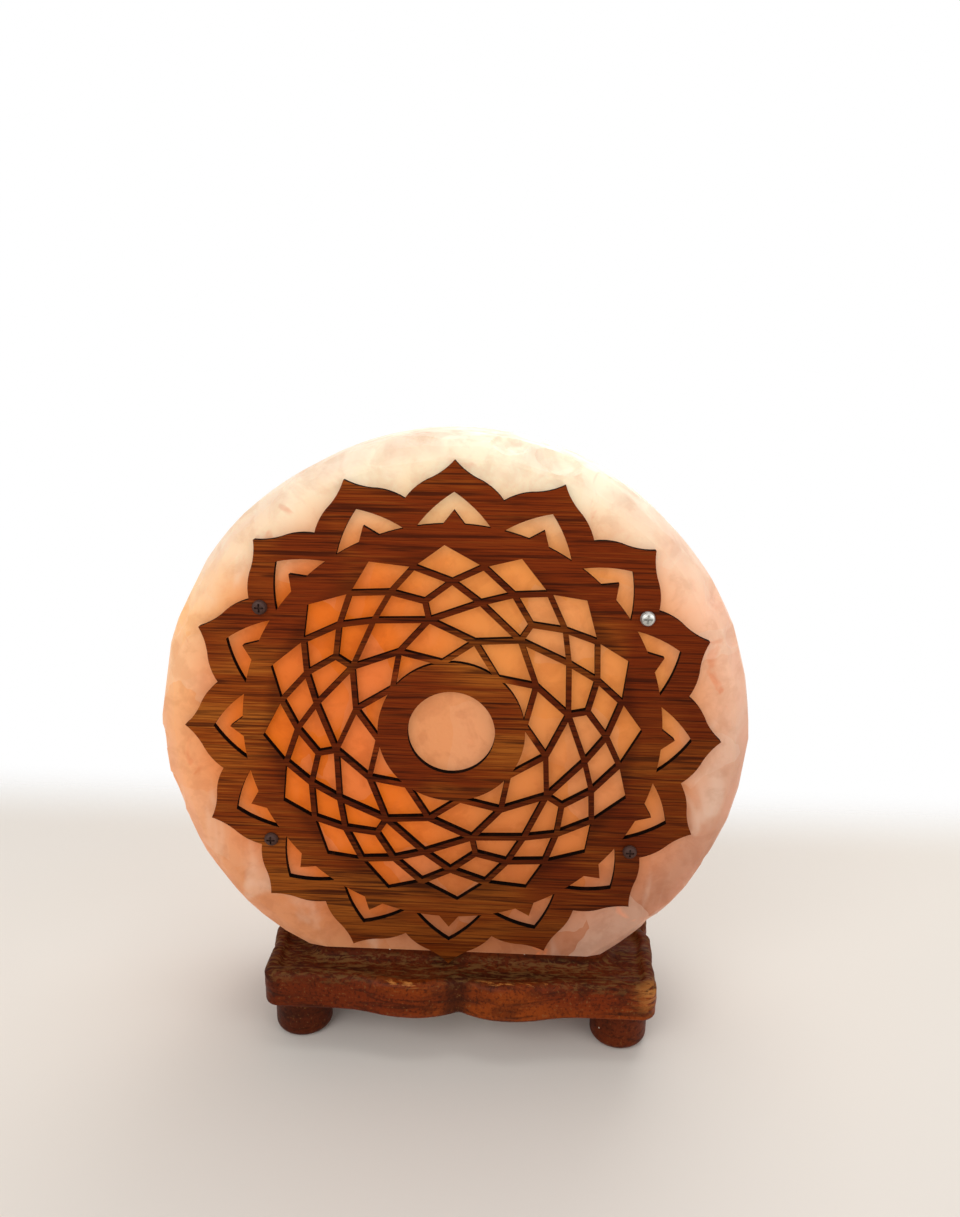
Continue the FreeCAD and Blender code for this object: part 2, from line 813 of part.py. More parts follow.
def lattice_cells():
    """The nine openings of one fold of the lattice, each a ring of edges."""
    half = float(size["strut_width"]) / 2

    def star(k):
        return polar(star_tips, STAR_TIP_ANGLE + k * PETAL_STEP)

    def outer(k):
        return polar(outer_knots, OUTER_KNOT_ANGLE + k * PETAL_STEP)

    def second(k):
        return polar(second_knots, SECOND_KNOT_ANGLE + k * PETAL_STEP)

    def third(k):
        return polar(third_knots, THIRD_KNOT_ANGLE + k * PETAL_STEP)

    def fork(k):
        return polar(fork_knots, FORK_KNOT_ANGLE + k * FOLD_STEP)

    def inner(k):
        return polar(inner_knots, INNER_KNOT_ANGLE + k * FOLD_STEP)

    def ring_knot(k):
        return polar(ring_edge, RING_KNOT_ANGLE + k * FOLD_STEP)

    cells = []
    for k in (0, 1):
        # a diamond under each star tip, open right up to the band
        cells.append(([star(k), outer(k), second(k), outer(k - 1)], [0.0, half, half, 0.0]))
        # a diamond between two second knots
        cells.append(([outer(k), second(k + 1), third(k), second(k)], [half] * 4))
    cells.append(([second(0), third(0), fork(-1), third(-1)], [half] * 4))
    cells.append(([second(1), third(1), fork(0), third(0)], [half] * 4))
    cells.append(([third(0), fork(0), inner(0), fork(-1)], [half] * 4))
    cells.append(([fork(0), inner(1), ring_knot(0), inner(0)], [half] * 4))
    rings = [polygon(inset_corners(corners, insets)) for corners, insets in cells]
    rings.append(ring_cell(inner(0), ring_knot(0), ring_knot(-1), half))
    return rings


def ring_cell(top, right, left, half):
    """The three-cornered opening between two struts and the centre ring."""
    corners = inset_corners([top, right, left], [half, 0.0, half])
    radius = float(ring_edge)

    def on_ring(start, end):
        """Where the side from start to end meets the centre ring."""
        along = (end - start).normalize()
        near = start.dot(along)
        return start + along * (-near - math.sqrt(near * near - start.Length ** 2 + radius ** 2))

    low_right = on_ring(corners[0], corners[1])
    low_left = on_ring(corners[0], corners[2])
    bend = ((low_right + low_left) / 2).normalize() * radius
    return [
        Part.LineSegment(corners[0], low_right),
        Part.Arc(low_right, bend, low_left),
        Part.LineSegment(low_left, corners[0]),
    ]


def make_mandala_panel():
    """A sheet with the petals' outline, cut through by windows, lattice and screw holes."""
    body = new_body("mandala_panel")
    outline = new_sketch(body, "panel_outline", "XZ_Plane", salt_front)
    petals = []
    for index in range(PETALS):
        petals.extend(petal_edges(index))
    draw(outline, petals)
    pad(body, "panel_sheet", outline, size["panel_thickness"])

    window = new_sketch(body, "window_outline", "XZ_Plane", panel_front)
    draw(window, window_ring())
    window_cut = pocket(body, "window", window, size["panel_thickness"])
    repeat(body, "windows", window_cut, window, PETALS)

    lattice = new_sketch(body, "lattice_outline", "XZ_Plane", panel_front)
    for ring in lattice_cells():
        draw(lattice, ring)
    lattice_cut = pocket(body, "lattice_fold", lattice, size["panel_thickness"])
    repeat(body, "lattice", lattice_cut, lattice, FOLDS)

    holes = new_sketch(body, "panel_hole_circles", "XZ_Plane", panel_front)
    add_circle(holes, 0, 0, size["centre_hole_radius"])
    hole = size["panel_screw_diameter"] / 2 + size["fit_gap"]
    for x_side in (-1, 1):
        for z_side in (-1, 1):
            add_circle(holes, x_side * panel_screw_x, z_side * panel_screw_z, hole)
    pocket(body, "panel_holes", holes, size["panel_thickness"])
    place_body(body, z=panel_centre)
    return body


def repeat(body, name, feature, sketch, copies):
    """Repeat a feature evenly about the axis square to its sketch."""
    pattern = body.newObject("PartDesign::PolarPattern", name)
    pattern.Originals = [feature]
    pattern.Axis = (sketch, ["N_Axis"])
    pattern.Angle = FULL_TURN
    pattern.Occurrences = copies
    body.Tip = pattern
    doc.recompute()


# ---------------------------------------------------------------------------------------------
# Panel screws and plugs
# ---------------------------------------------------------------------------------------------
def four_about_panel(name, piece):
    """Four copies of a piece that lies along Y, mirrored about the panel's centre."""
    piece.Placement = Placement(Vector(0, 0, 0), Rotation(Vector(1, 0, 0), 90))
    bind(piece, Placement__Base__x=panel_screw_x, Placement__Base__y=-salt_front,
         Placement__Base__z=panel_screw_z)
    pair = group(name + "_upper", [piece, mirrored(piece, name + "_upper_left", Vector(1, 0, 0))])
    lower = mirrored(pair, name + "_lower", Vector(0, 0, 1))
    node = group(name, [pair, lower])
    place_body(node, z=panel_centre)
    return node


def make_panel_screws():
    """Pan-head screws with a cross recess; local +Z points out of the panel."""
    shank = size["panel_screw_diameter"] / 2
    head = size["panel_screw_head_diameter"] / 2
    under = size["panel_thickness"]
    crown = under + size["panel_screw_head_height"]
    end = under - size["panel_screw_length"]
    screw = turned_body("panel_screw", [
        (0, end),
        (shank, end + size["panel_screw_diameter"]),
        (shank, under),
        (head, under),
        (head, under + size["panel_screw_head_height"] * 0.45),
        (head * 0.84, under + size["panel_screw_head_height"] * 0.8),
        (head * 0.5, crown),
        (0, crown),
    ])
    for name, x_size, y_size in (("slot_x", "cross_slot_length", "cross_slot_width"),
                                 ("slot_y", "cross_slot_width", "cross_slot_length")):
        slot = new_sketch(screw, name, "XY_Plane", crown)
        wide = size[x_size] / 2
        deep = size[y_size] / 2
        add_profile(slot, [(-wide, -deep), (wide, -deep), (wide, deep), (-wide, deep)])
        pocket(screw, "cross_" + name, slot, size["cross_slot_depth"])
    return four_about_panel("panel_screws", screw)


def make_panel_plugs():
    """Nylon plugs in the salt that the panel screws bite into."""
    bore = size["panel_screw_diameter"] / 2 + size["fit_gap"]
    outer = size["panel_plug_diameter"] / 2
    plug = turned_body("panel_plug", [
        (bore, -panel_plug_length),
        (outer, -panel_plug_length),
        (outer, 0),
        (bore, 0),
    ])
    return four_about_panel("panel_screw_plugs", plug)


# ---------------------------------------------------------------------------------------------
# Screws, washers and plugs that hold the salt on the board
# ---------------------------------------------------------------------------------------------
def two_across(name, piece):
    place_body(piece, size["disc_screw_spread"])
    return on_base(group(name, [piece, mirrored(piece, name + "_left", Vector(1, 0, 0))]))


def make_disc_screws():
    shank = size["disc_screw_diameter"] / 2
    head = size["disc_screw_head_diameter"] / 2
    low = washer_bottom - size["disc_screw_head_height"]
    screw = turned_body("disc_screw", [
        (0, low),
        (head * 0.6, low),
        (head, washer_bottom - size["disc_screw_head_height"] * 0.5),
        (head, washer_bottom),
        (shank, washer_bottom),
        (shank, disc_screw_end - size["disc_screw_diameter"]),
        (0, disc_screw_end),
    ])
    return two_across("disc_screws", screw)


def make_disc_washers():
    hole = size["disc_screw_diameter"] / 2 + size["fit_gap"]
    outer = size["washer_diameter"] / 2
    washer = turned_body("disc_washer", [
        (hole, washer_bottom),
        (outer, washer_bottom),
        (outer, washer_top),
        (hole, washer_top),
    ])
    return two_across("disc_screw_washers", washer)


def make_disc_plugs():
    hole = size["disc_screw_diameter"] / 2 + size["fit_gap"]
    outer = size["disc_plug_diameter"] / 2
    plug = turned_body("disc_plug", [
        (hole, seat_top),
        (outer, seat_top),
        (outer, seat_top + disc_plug_length),
        (hole, seat_top + disc_plug_length),
    ])
    return two_across("disc_screw_plugs", plug)


# ---------------------------------------------------------------------------------------------
# Lampholder: a cap and a body clamp the spring plate between them
# ---------------------------------------------------------------------------------------------
plate_top = size["foot_height"] + size["plate_recess_depth"] - size["running_gap"]
plate_bottom = plate_top - size["plate_thickness"]
holder_radius = size["holder_diameter"] / 2
holder_bore = holder_radius - size["holder_wall"]
spigot_radius = holder_bore - size["fit_gap"]
spigot_bore = spigot_radius - size["spigot_wall"]
spigot_top = plate_top + size["spigot_height"]
insert_top = spigot_top + size["insert_height"]
holder_top = plate_top + size["holder_height"]
cap_bottom = plate_bottom - size["cap_height"]
inlet_centre = cap_bottom + size["inlet_height"]


def make_holder_plate():
    """A round spring-steel plate with two legs bent up to grip the bore."""
    body = new_body("holder_plate")
    disc = new_sketch(body, "plate_circles", "XY_Plane", plate_bottom)
    add_circle(disc, 0, 0, size["plate_diameter"] / 2)
    add_circle(disc, 0, 0, spigot_radius + size["fit_gap"])
    pad(body, "plate_disc", disc, size["plate_thickness"])
    root = size["leg_root_radius"]
    grip = beside(bore_radius - size["running_gap"], size["leg_width"] / 2)
    thick = size["leg_thickness"]
    height = size["leg_height"]
    for side in (-1, 1):
        leg = new_sketch(body, f"leg_section_{'right' if side > 0 else 'left'}", "XZ_Plane",
                         -size["leg_width"] / 2)
        outline = [
            (root, plate_top - size["plate_thickness"] * 0.5),
            (root + thick, plate_top - size["plate_thickness"] * 0.5),
            (grip, plate_top + height * 0.6),
            (grip, plate_top + height * 0.68),
            (root + thick * 2, plate_top + height),
            (root + thick, plate_top + height),
            (grip - thick, plate_top + height * 0.67),
            (grip - thick, plate_top + height * 0.61),
            (root, plate_top + size["running_gap"]),
        ]
        add_profile(leg, [(side * x, z) for x, z in outline])
        pad(body, f"leg_{'right' if side > 0 else 'left'}", leg, size["leg_width"])
    return on_base(body)


def make_holder_body():
    """The moulded outer tube, open below for the insert and with a mouth for the bulb above."""
    rim = holder_top - size["holder_rim_thickness"]
    mouth = size["holder_mouth_diameter"] / 2
    return on_base(turned_body("holder_body", [
        (holder_bore, plate_top),
        (holder_radius, plate_top),
        (holder_radius, holder_top),
        (mouth, holder_top),
        (mouth, rim),
        (holder_bore, rim),
    ]))


def make_holder_insert():
    """The ceramic block that carries the contacts, with tapped holes below."""
    body = turned_body("holder_insert", [
        (0, spigot_top),
        (spigot_radius, spigot_top),
        (spigot_radius, insert_top),
        (0, insert_top),
    ])
    holes = new_sketch(body, "terminal_circles", "XY_Plane", spigot_top)
    for side in (-1, 1):
        add_circle(holes, side * size["terminal_spread"], 0,
                   size["terminal_screw_diameter"] / 2 + size["fit_gap"])
    pocket(body, "terminal_holes", holes, size["terminal_screw_length"] + size["running_gap"],
           backward=True)
    return on_base(body)


def make_terminal_screws():
    shank = size["terminal_screw_diameter"] / 2
    head = size["terminal_head_diameter"] / 2
    low = spigot_top - size["terminal_head_height"]
    screw = turned_body("terminal_screw", [
        (0, low),
        (head, low),
        (head, spigot_top),
        (shank, spigot_top),
        (shank, spigot_top + size["terminal_screw_length"]),
        (0, spigot_top + size["terminal_screw_length"]),
    ])
    slot = new_sketch(screw, "terminal_slot", "XY_Plane", low)
    half = size["terminal_head_height"] / 4
    long = size["terminal_head_diameter"]
    add_profile(slot, [(-long, -half), (long, -half), (long, half), (-long, half)])
    pocket(screw, "terminal_slot_cut", slot, size["terminal_head_height"] / 2, backward=True)
    place_body(screw, size["terminal_spread"])
    twin = mirrored(screw, "terminal_screw_left", Vector(1, 0, 0))
    return on_base(group("terminal_screws", [screw, twin]))


def make_holder_cap():
    """The cover below the plate, whose spigot goes up through it into the body."""
    floor = cap_bottom + size["cap_floor"]
    wall = holder_radius - size["holder_wall"]
    body = turned_body("holder_cap", [
        (0, cap_bottom),
        (holder_radius, cap_bottom),
        (holder_radius, plate_bottom),
        (spigot_radius, plate_bottom),
        (spigot_radius, spigot_top),
        (spigot_bore, spigot_top),
        (spigot_bore, plate_bottom - size["spigot_wall"]),
        (wall, plate_bottom - size["spigot_wall"]),
        (wall, floor),
        (0, floor),
    ])
    round_edges(body, "cap_round", size["cap_edge_round"],
                lambda edge: lies_at(edge, cap_bottom))
    inlet = new_sketch(body, "inlet_circle", "XZ_Plane")
    add_circle(inlet, 0, inlet_centre, size["inlet_hole_diameter"] / 2)
    pocket(body, "inlet_hole", inlet, holder_radius * 2)
    return on_base(body)


def make_cord_inlet_bush():
    """The bush that lines the cap's cord hole; local +Z points out to the rear."""
    bore = size["inlet_bore_diameter"] / 2
    tube = size["inlet_hole_diameter"] / 2 - size["fit_gap"]
    flange = size["inlet_flange_diameter"] / 2
    seat = holder_radius + size["fit_gap"]
    bush = turned_body("cord_inlet_bush", [
        (bore, seat - size["inlet_length"]),
        (tube, seat - size["inlet_length"]),
        (tube, seat),
        (flange, seat),
        (flange, seat + size["inlet_flange_thickness"]),
        (bore, seat + size["inlet_flange_thickness"]),
    ])
    bush.Placement = Placement(Vector(0, 0, 0), Rotation(Vector(1, 0, 0), -90))
    bind(bush, Placement__Base__z=inlet_centre)
    return on_base(bush)


def threaded_wall(inner, wall, depth, start, rings, pitch):
    """Half section of a thin wall that waves outwards once in each pitch, as (radius, height)."""
    inside = []
    for ring in range(rings):
        low = start + ring * pitch
        inside.extend([
            (inner, low),
            (inner, low + pitch * 0.2),
            (inner + depth, low + pitch * 0.4),
            (inner + depth, low + pitch * 0.6),
            (inner, low + pitch * 0.8),
        ])
    inside.append((inner, start + rings * pitch))
    outside = [(radius + wall, height) for radius, height in reversed(inside)]
    return inside + outside


# the bulb sits with its tip on the centre contact; heights of its thread follow from there
contact_top = insert_top + size["contact_height"]
bulb_base = contact_top + size["running_gap"]
insulator_bottom = bulb_base + size["bulb_tip_height"]
bulb_thread_start = insulator_bottom + size["bulb_insulator_height"]
bulb_thread_end = bulb_thread_start + THREAD_RINGS * size["thread_pitch"]
crest_radius = size["thread_diameter"] / 2
root_radius = crest_radius - size["thread_depth"]


def make_screw_shell():
    """The brass shell, a step of thread longer than the bulb's cap at its lower end."""
    inner = root_radius + size["thread_play"]
    wall = size["shell_wall"]
    collar = size["thread_pitch"]
    rings = threaded_wall(inner, wall, size["thread_depth"], bulb_thread_start, THREAD_RINGS,
                          size["thread_pitch"])
    half = len(rings) // 2
    foot = inner + size["thread_depth"] + collar * 0.5
    profile = ([(inner, insert_top)] + rings[:half] + rings[half:]
               + [(inner + wall, insert_top + wall), (foot, insert_top + wall), (foot, insert_top)])
    return on_base(turned_body("screw_shell", profile))


def make_centre_contact():
    """A brass tongue riveted to the insert and bent up under the bulb's tip."""
    body = new_body("centre_contact")
    thick = size["contact_thickness"]
    reach = size["contact_reach"] / 2
    sketch = new_sketch(body, "tongue_section", "XZ_Plane", -size["contact_width"] / 2)
    add_profile(sketch, [
        (-reach, insert_top),
        (reach, insert_top),
        (reach, insert_top + thick),
        (thick - reach, insert_top + thick),
        (thick - reach, contact_top - thick),
        (reach * 0.6, contact_top - thick),
        (reach * 0.6, contact_top),
        (-reach, contact_top),
    ])
    pad(body, "tongue", sketch, size["contact_width"])
    return on_base(body)


# ---------------------------------------------------------------------------------------------
# Bulb
# ---------------------------------------------------------------------------------------------
skirt_top = bulb_thread_end + size["bulb_skirt_height"]
glass_neck = root_radius - size["bulb_cap_wall"] - size["fit_gap"]
glass_bottom = bulb_thread_start + size["thread_pitch"]
glass_radius = size["bulb_diameter"] / 2
shoulder = skirt_top + size["bulb_neck_height"]
straight_top = shoulder + size["bulb_straight_height"]
stem_bottom = glass_bottom
stem_top = stem_bottom + size["stem_height"]
filament_height = stem_top + size["lead_height"]


def make_bulb_tip():
    return on_base(turned_body("bulb_tip", [
        (0, bulb_base),
        (size["bulb_tip_diameter"] * 0.3, bulb_base),
        (size["bulb_tip_diameter"] / 2, insulator_bottom),
        (0, insulator_bottom),
    ]))


def make_bulb_insulator():
    """The black glass cone between the tip and the threaded cap."""
    return on_base(turned_body("bulb_insulator", [
        (0, insulator_bottom),
        (size["bulb_tip_diameter"] / 2 + size["bulb_tip_height"] / 2, insulator_bottom),
        (root_radius, bulb_thread_start),
        (0, bulb_thread_start),
    ]))


def make_bulb_cap():
    """The threaded metal cap, whose skirt flares out to the neck of the glass."""
    wall = size["bulb_cap_wall"]
    inner = root_radius - wall
    rings = threaded_wall(inner, wall, size["thread_depth"], bulb_thread_start, THREAD_RINGS,
                          size["thread_pitch"])
    half = len(rings) // 2
    flare = size["bulb_skirt_diameter"] / 2
    profile = rings[:half] + [(flare - wall, skirt_top), (flare, skirt_top)] + rings[half:]
    return on_base(turned_body("bulb_cap", profile))


def glass_section(inset):
    """Radii and heights of the glass, drawn in by inset: neck, shoulder, straight wall."""
    return [
        (glass_neck - inset, glass_bottom),
        (glass_neck - inset, bulb_thread_end),
        (glass_radius - inset, shoulder),
        (glass_radius - inset, straight_top),
    ]


def make_bulb_glass():
    """A hollow tubular envelope with a round top, open below at the stem."""
    body = new_body("bulb_glass")
    outer_dome = straight_top + glass_radius
    wall = size["bulb_glass_wall"]
    inner = glass_section(wall)
    outer = glass_section(0.0)
    sketch = new_sketch(body, "glass_section", "XZ_Plane")
    slant = math.sqrt(0.5)
    spots = {
        "outer": (float(glass_radius), float(straight_top)),
        "inner": (float(glass_radius - wall), float(straight_top)),
    }
    outer_points = [Vector(float(r), float(z), 0) for r, z in outer]
    inner_points = [Vector(float(r), float(z), 0) for r, z in inner]
    ring = polyline(outer_points)
    for name, turn_back in (("outer", False), ("inner", True)):
        radius, height = spots[name]
        start = Vector(radius, height, 0)
        bend = Vector(radius * slant, height + radius * slant, 0)
        crown = Vector(0, height + radius, 0)
        if turn_back:
            ring.append(Part.LineSegment(ring[-1].EndPoint, crown))
            ring.append(Part.Arc(crown, bend, start))
        else:
            ring.append(Part.Arc(start, bend, crown))
    ring.extend(polyline(list(reversed(inner_points))))
    ring.append(Part.LineSegment(inner_points[0], outer_points[0]))
    draw(sketch, ring)
    feature = body.newObject("PartDesign::Revolution", "glass_turned")
    feature.Profile = sketch
    feature.ReferenceAxis = (sketch, ["V_Axis"])
    feature.Angle = FULL_TURN
    doc.recompute()
    if abs(body.Shape.BoundBox.ZMax - float(outer_dome)) > 1e-3:
        raise RuntimeError("the glass dome is out of place")
    return on_base(body)


def polyline(points):
    return [Part.LineSegment(start, end) for start, end in zip(points, points[1:])]


def make_bulb_stem():
    """The glass mount that closes the neck and carries the lead wires."""
    flare = glass_neck - size["bulb_glass_wall"] - size["fit_gap"]
    pinch = size["stem_diameter"] / 4
    return on_base(turned_body("bulb_stem", [
        (0, stem_bottom),
        (flare, stem_bottom),
        (flare, stem_bottom + size["thread_pitch"]),
        (pinch * 1.6, stem_top - size["stem_height"] * 0.5),
        (pinch, stem_top),
        (0, stem_top),
    ]))


def wire(name, start, end, diameter):
    """A straight round wire between two points of three sizes each."""
    rod = doc.addObject("Part::Cylinder", name)
    begin = Vector(*[float(item) for item in start])
    finish = Vector(*[float(item) for item in end])
    rod.Radius = float(diameter) / 2
    rod.Height = (finish - begin).Length
    rod.Placement = Placement(begin, Rotation(Vector(0, 0, 1), finish - begin))
    bind(rod, Radius=diameter / 2, Placement__Base__x=start[0], Placement__Base__y=start[1],
         Placement__Base__z=start[2])
    return rod


def make_lead_wires():
    """Two wires that fan out from the top of the stem to the ends of the filament."""
    near = size["stem_diameter"] / 4 - size["lead_diameter"]
    right = wire("lead_wire", (near, 0, stem_top + size["fit_gap"]),
                 (size["lead_spread"], 0, filament_height), size["lead_diameter"])
    left = mirrored(right, "lead_wire_left", Vector(1, 0, 0))
    return on_base(group("lead_wires", [right, left]))


def make_filament():
    """The filament: its fine coil is drawn as one plain wire bowed up between the leads."""
    ring = doc.addObject("Part::Torus", "filament_ring")
    bind(ring, Radius1=size["lead_spread"] + size["lead_diameter"], Radius2=size["filament_diameter"] / 2)
    ring.Placement = Placement(Vector(0, 0, 0), Rotation(Vector(1, 0, 0), 90))
    ring.Angle3 = FULL_TURN / 2
    node = group("filament", [ring])
    place_body(node, z=filament_height + size["running_gap"])
    return on_base(node)


# ---------------------------------------------------------------------------------------------
# Build, check and write every node
# ---------------------------------------------------------------------------------------------
FEET = (
    ("foot_front_left", -1, -1),
    ("foot_front_right", 1, -1),
    ("foot_rear_left", -1, 1),
    ("foot_rear_right", 1, 1),
)

nodes = [make_base_board()]
nodes.extend(make_foot(*foot) for foot in FEET)
nodes.extend([
    make_foot_screws(),
    make_salt_disc(),
    make_disc_screws(),
    make_disc_washers(),
    make_disc_plugs(),
    make_mandala_panel(),
    make_panel_screws(),
    make_panel_plugs(),
    make_holder_plate(),
    make_holder_body(),
    make_holder_insert(),
    make_terminal_screws(),
    make_holder_cap(),
    make_cord_inlet_bush(),
    make_screw_shell(),
    make_centre_contact(),
    make_bulb_tip(),
    make_bulb_insulator(),
    make_bulb_cap(),
    make_bulb_glass(),
    make_bulb_stem(),
    make_lead_wires(),
    make_filament(),
])
doc.recompute()

for item in doc.Objects:
    if "Invalid" in item.State or "Error" in item.State:
        raise RuntimeError(f"{item.Name} failed to recompute: {item.State}")
os.makedirs("parts", exist_ok=True)
for node in nodes:
    if node.Shape.isNull() or not node.Shape.isValid() or not node.Shape.Solids:
        raise RuntimeError(f"{node.Label} has no valid shape")
for node in nodes:
    node.Shape.exportStep(os.path.join("parts", node.Label + ".step"))
    box = node.Shape.BoundBox
    print(f"{node.Label}: {len(node.Shape.Solids)} solid(s), "
          f"{box.XLength:.1f} x {box.YLength:.1f} x {box.ZLength:.1f} mm")
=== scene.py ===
"""Looks of a salt crystal lamp.

A lit disc of rock salt stands behind a wooden mandala, on a carved base.
"""

import logging
import math
import random
from dataclasses import dataclass, field
from enum import Enum

import bpy
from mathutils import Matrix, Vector


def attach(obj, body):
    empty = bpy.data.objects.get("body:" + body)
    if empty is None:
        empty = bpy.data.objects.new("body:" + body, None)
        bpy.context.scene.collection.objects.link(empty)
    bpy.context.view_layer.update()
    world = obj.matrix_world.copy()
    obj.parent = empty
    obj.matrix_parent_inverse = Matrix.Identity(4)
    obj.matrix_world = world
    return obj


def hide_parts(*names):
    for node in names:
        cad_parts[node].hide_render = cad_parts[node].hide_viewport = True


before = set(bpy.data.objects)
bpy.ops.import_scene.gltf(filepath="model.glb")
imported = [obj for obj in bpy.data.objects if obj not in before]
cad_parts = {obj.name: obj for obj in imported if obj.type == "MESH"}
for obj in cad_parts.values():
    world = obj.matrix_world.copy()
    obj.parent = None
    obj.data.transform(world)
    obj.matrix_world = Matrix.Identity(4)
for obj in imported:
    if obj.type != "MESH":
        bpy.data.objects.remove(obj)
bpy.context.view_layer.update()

LOG = logging.getLogger("salt_lamp")
Colour = tuple[float, float, float]
Point = tuple[float, float, float]

# Places in the lamp, in metres.
DISC_CENTRE_HEIGHT = 0.1371
MANDALA_HEIGHT = 0.1426
SALT_FRONT = -0.030
PANEL_FRONT = -0.033
SALT_FLAT = 0.0406
BORE_CENTRE = 0.0055

WHITE: Colour = (1.0, 1.0, 1.0)
BLACK: Colour = (0.0, 0.0, 0.0)


def srgb(red: int, green: int, blue: int) -> Colour:
    """Turn a colour as a screen shows it, 0 to 255, into the linear one that a shader takes."""
    parts = (red / 255, green / 255, blue / 255)
    return tuple(part / 12.92 if part <= 0.04045 else ((part + 0.055) / 1.055) ** 2.4
                 for part in parts)


class Body(Enum):
    """The bodies of the lamp that pieces ride on."""

    LAMP = "lamp"
    HOLDER = "lampholder"
    BULB = "bulb"


class Side(Enum):
    """The two faces of the salt disc, as the sign of their y."""

    FRONT = -1
    REAR = 1


# ------------------------------------------------------------------------------------------------
# Shader building
# ------------------------------------------------------------------------------------------------
class Value:
    """A number that changes over a surface. Arithmetic on it adds the Math nodes."""

    def __init__(self, graph: "NodeGraph", socket: bpy.types.NodeSocket) -> None:
        """Wrap a socket of a graph."""
        self.graph = graph
        self.socket = socket

    def __add__(self, other: "Value | float") -> "Value":
        """Sum."""
        return self.graph.math("ADD", self, other)

    __radd__ = __add__

    def __mul__(self, other: "Value | float") -> "Value":
        """Product."""
        return self.graph.math("MULTIPLY", self, other)

    __rmul__ = __mul__

    def __sub__(self, other: "Value | float") -> "Value":
        """Difference."""
        return self.graph.math("SUBTRACT", self, other)

    def __rsub__(self, other: float) -> "Value":
        """Difference from a number."""
        return self.graph.math("SUBTRACT", other, self)

    def __pow__(self, other: float) -> "Value":
        """Power."""
        return self.graph.math("POWER", self, other)

    def __abs__(self) -> "Value":
        """Size without sign."""
        return self.graph.math("ABSOLUTE", self)

    def above(self, low: float, high: float) -> "Value":
        """Rise smoothly from 0 at low to 1 at high. Where low is the larger, it falls instead.

        Args:
            low: The value at which the result starts.
            high: The value at which the result is complete.

        Returns:
            The mask.
        """
        settings = {"interpolation_type": "SMOOTHSTEP"}
        sockets = {"Value": self, "From Min": min(low, high), "From Max": max(low, high)}
        made = self.graph.node("ShaderNodeMapRange", settings, sockets)
        mask = Value(self.graph, made.outputs["Result"])
        return mask if high > low else 1 - mask


class NodeGraph:
    """The nodes of a material or a world."""

    def __init__(self, tree: bpy.types.NodeTree) -> None:
        """Wrap a tree."""
        self.tree = tree

    def node(self, kind: str, settings: dict | None = None,
             sockets: dict | None = None) -> bpy.types.Node:
        """Add a node.

        Args:
            kind: The node's type.
            settings: Its settings, set first; a ramp's "stops" are pairs of place and colour.
            sockets: Values or links of its inputs, by name or number.

        Returns:
            The node.
        """
        made = self.tree.nodes.new(kind)
        for name, setting in (settings or {}).items():
            if name == "stops":
                self._set_stops(made.color_ramp, setting)
            else:
                setattr(made, name, setting)
        for name, value in (sockets or {}).items():
            self.feed(made.inputs[name], value)
        return made

    def _set_stops(self, ramp: bpy.types.ColorRamp, stops: list[tuple[float, Colour]]) -> None:
        """Give a ramp its stops."""
        while len(ramp.elements) < len(stops):
            ramp.elements.new(1.0)
        for element, (position, colour) in zip(ramp.elements, stops):
            element.position = position
            element.color = (*colour, 1.0)

    def feed(self, socket: bpy.types.NodeSocket, value: object) -> None:
        """Link or set one input."""
        if isinstance(value, Value):
            value = value.socket
        if isinstance(value, bpy.types.NodeSocket):
            self.tree.links.new(value, socket)
        elif isinstance(value, tuple) and socket.type == "RGBA":
            socket.default_value = (*value[:3], 1.0)
        else:
            socket.default_value = value

    def math(self, operation: str, first: "Value | float", second: "Value | float" = 0.0) -> Value:
        """Add a Math node on one or two values."""
        made = self.node("ShaderNodeMath", {"operation": operation}, {0: first, 1: second})
        return Value(self, made.outputs[0])


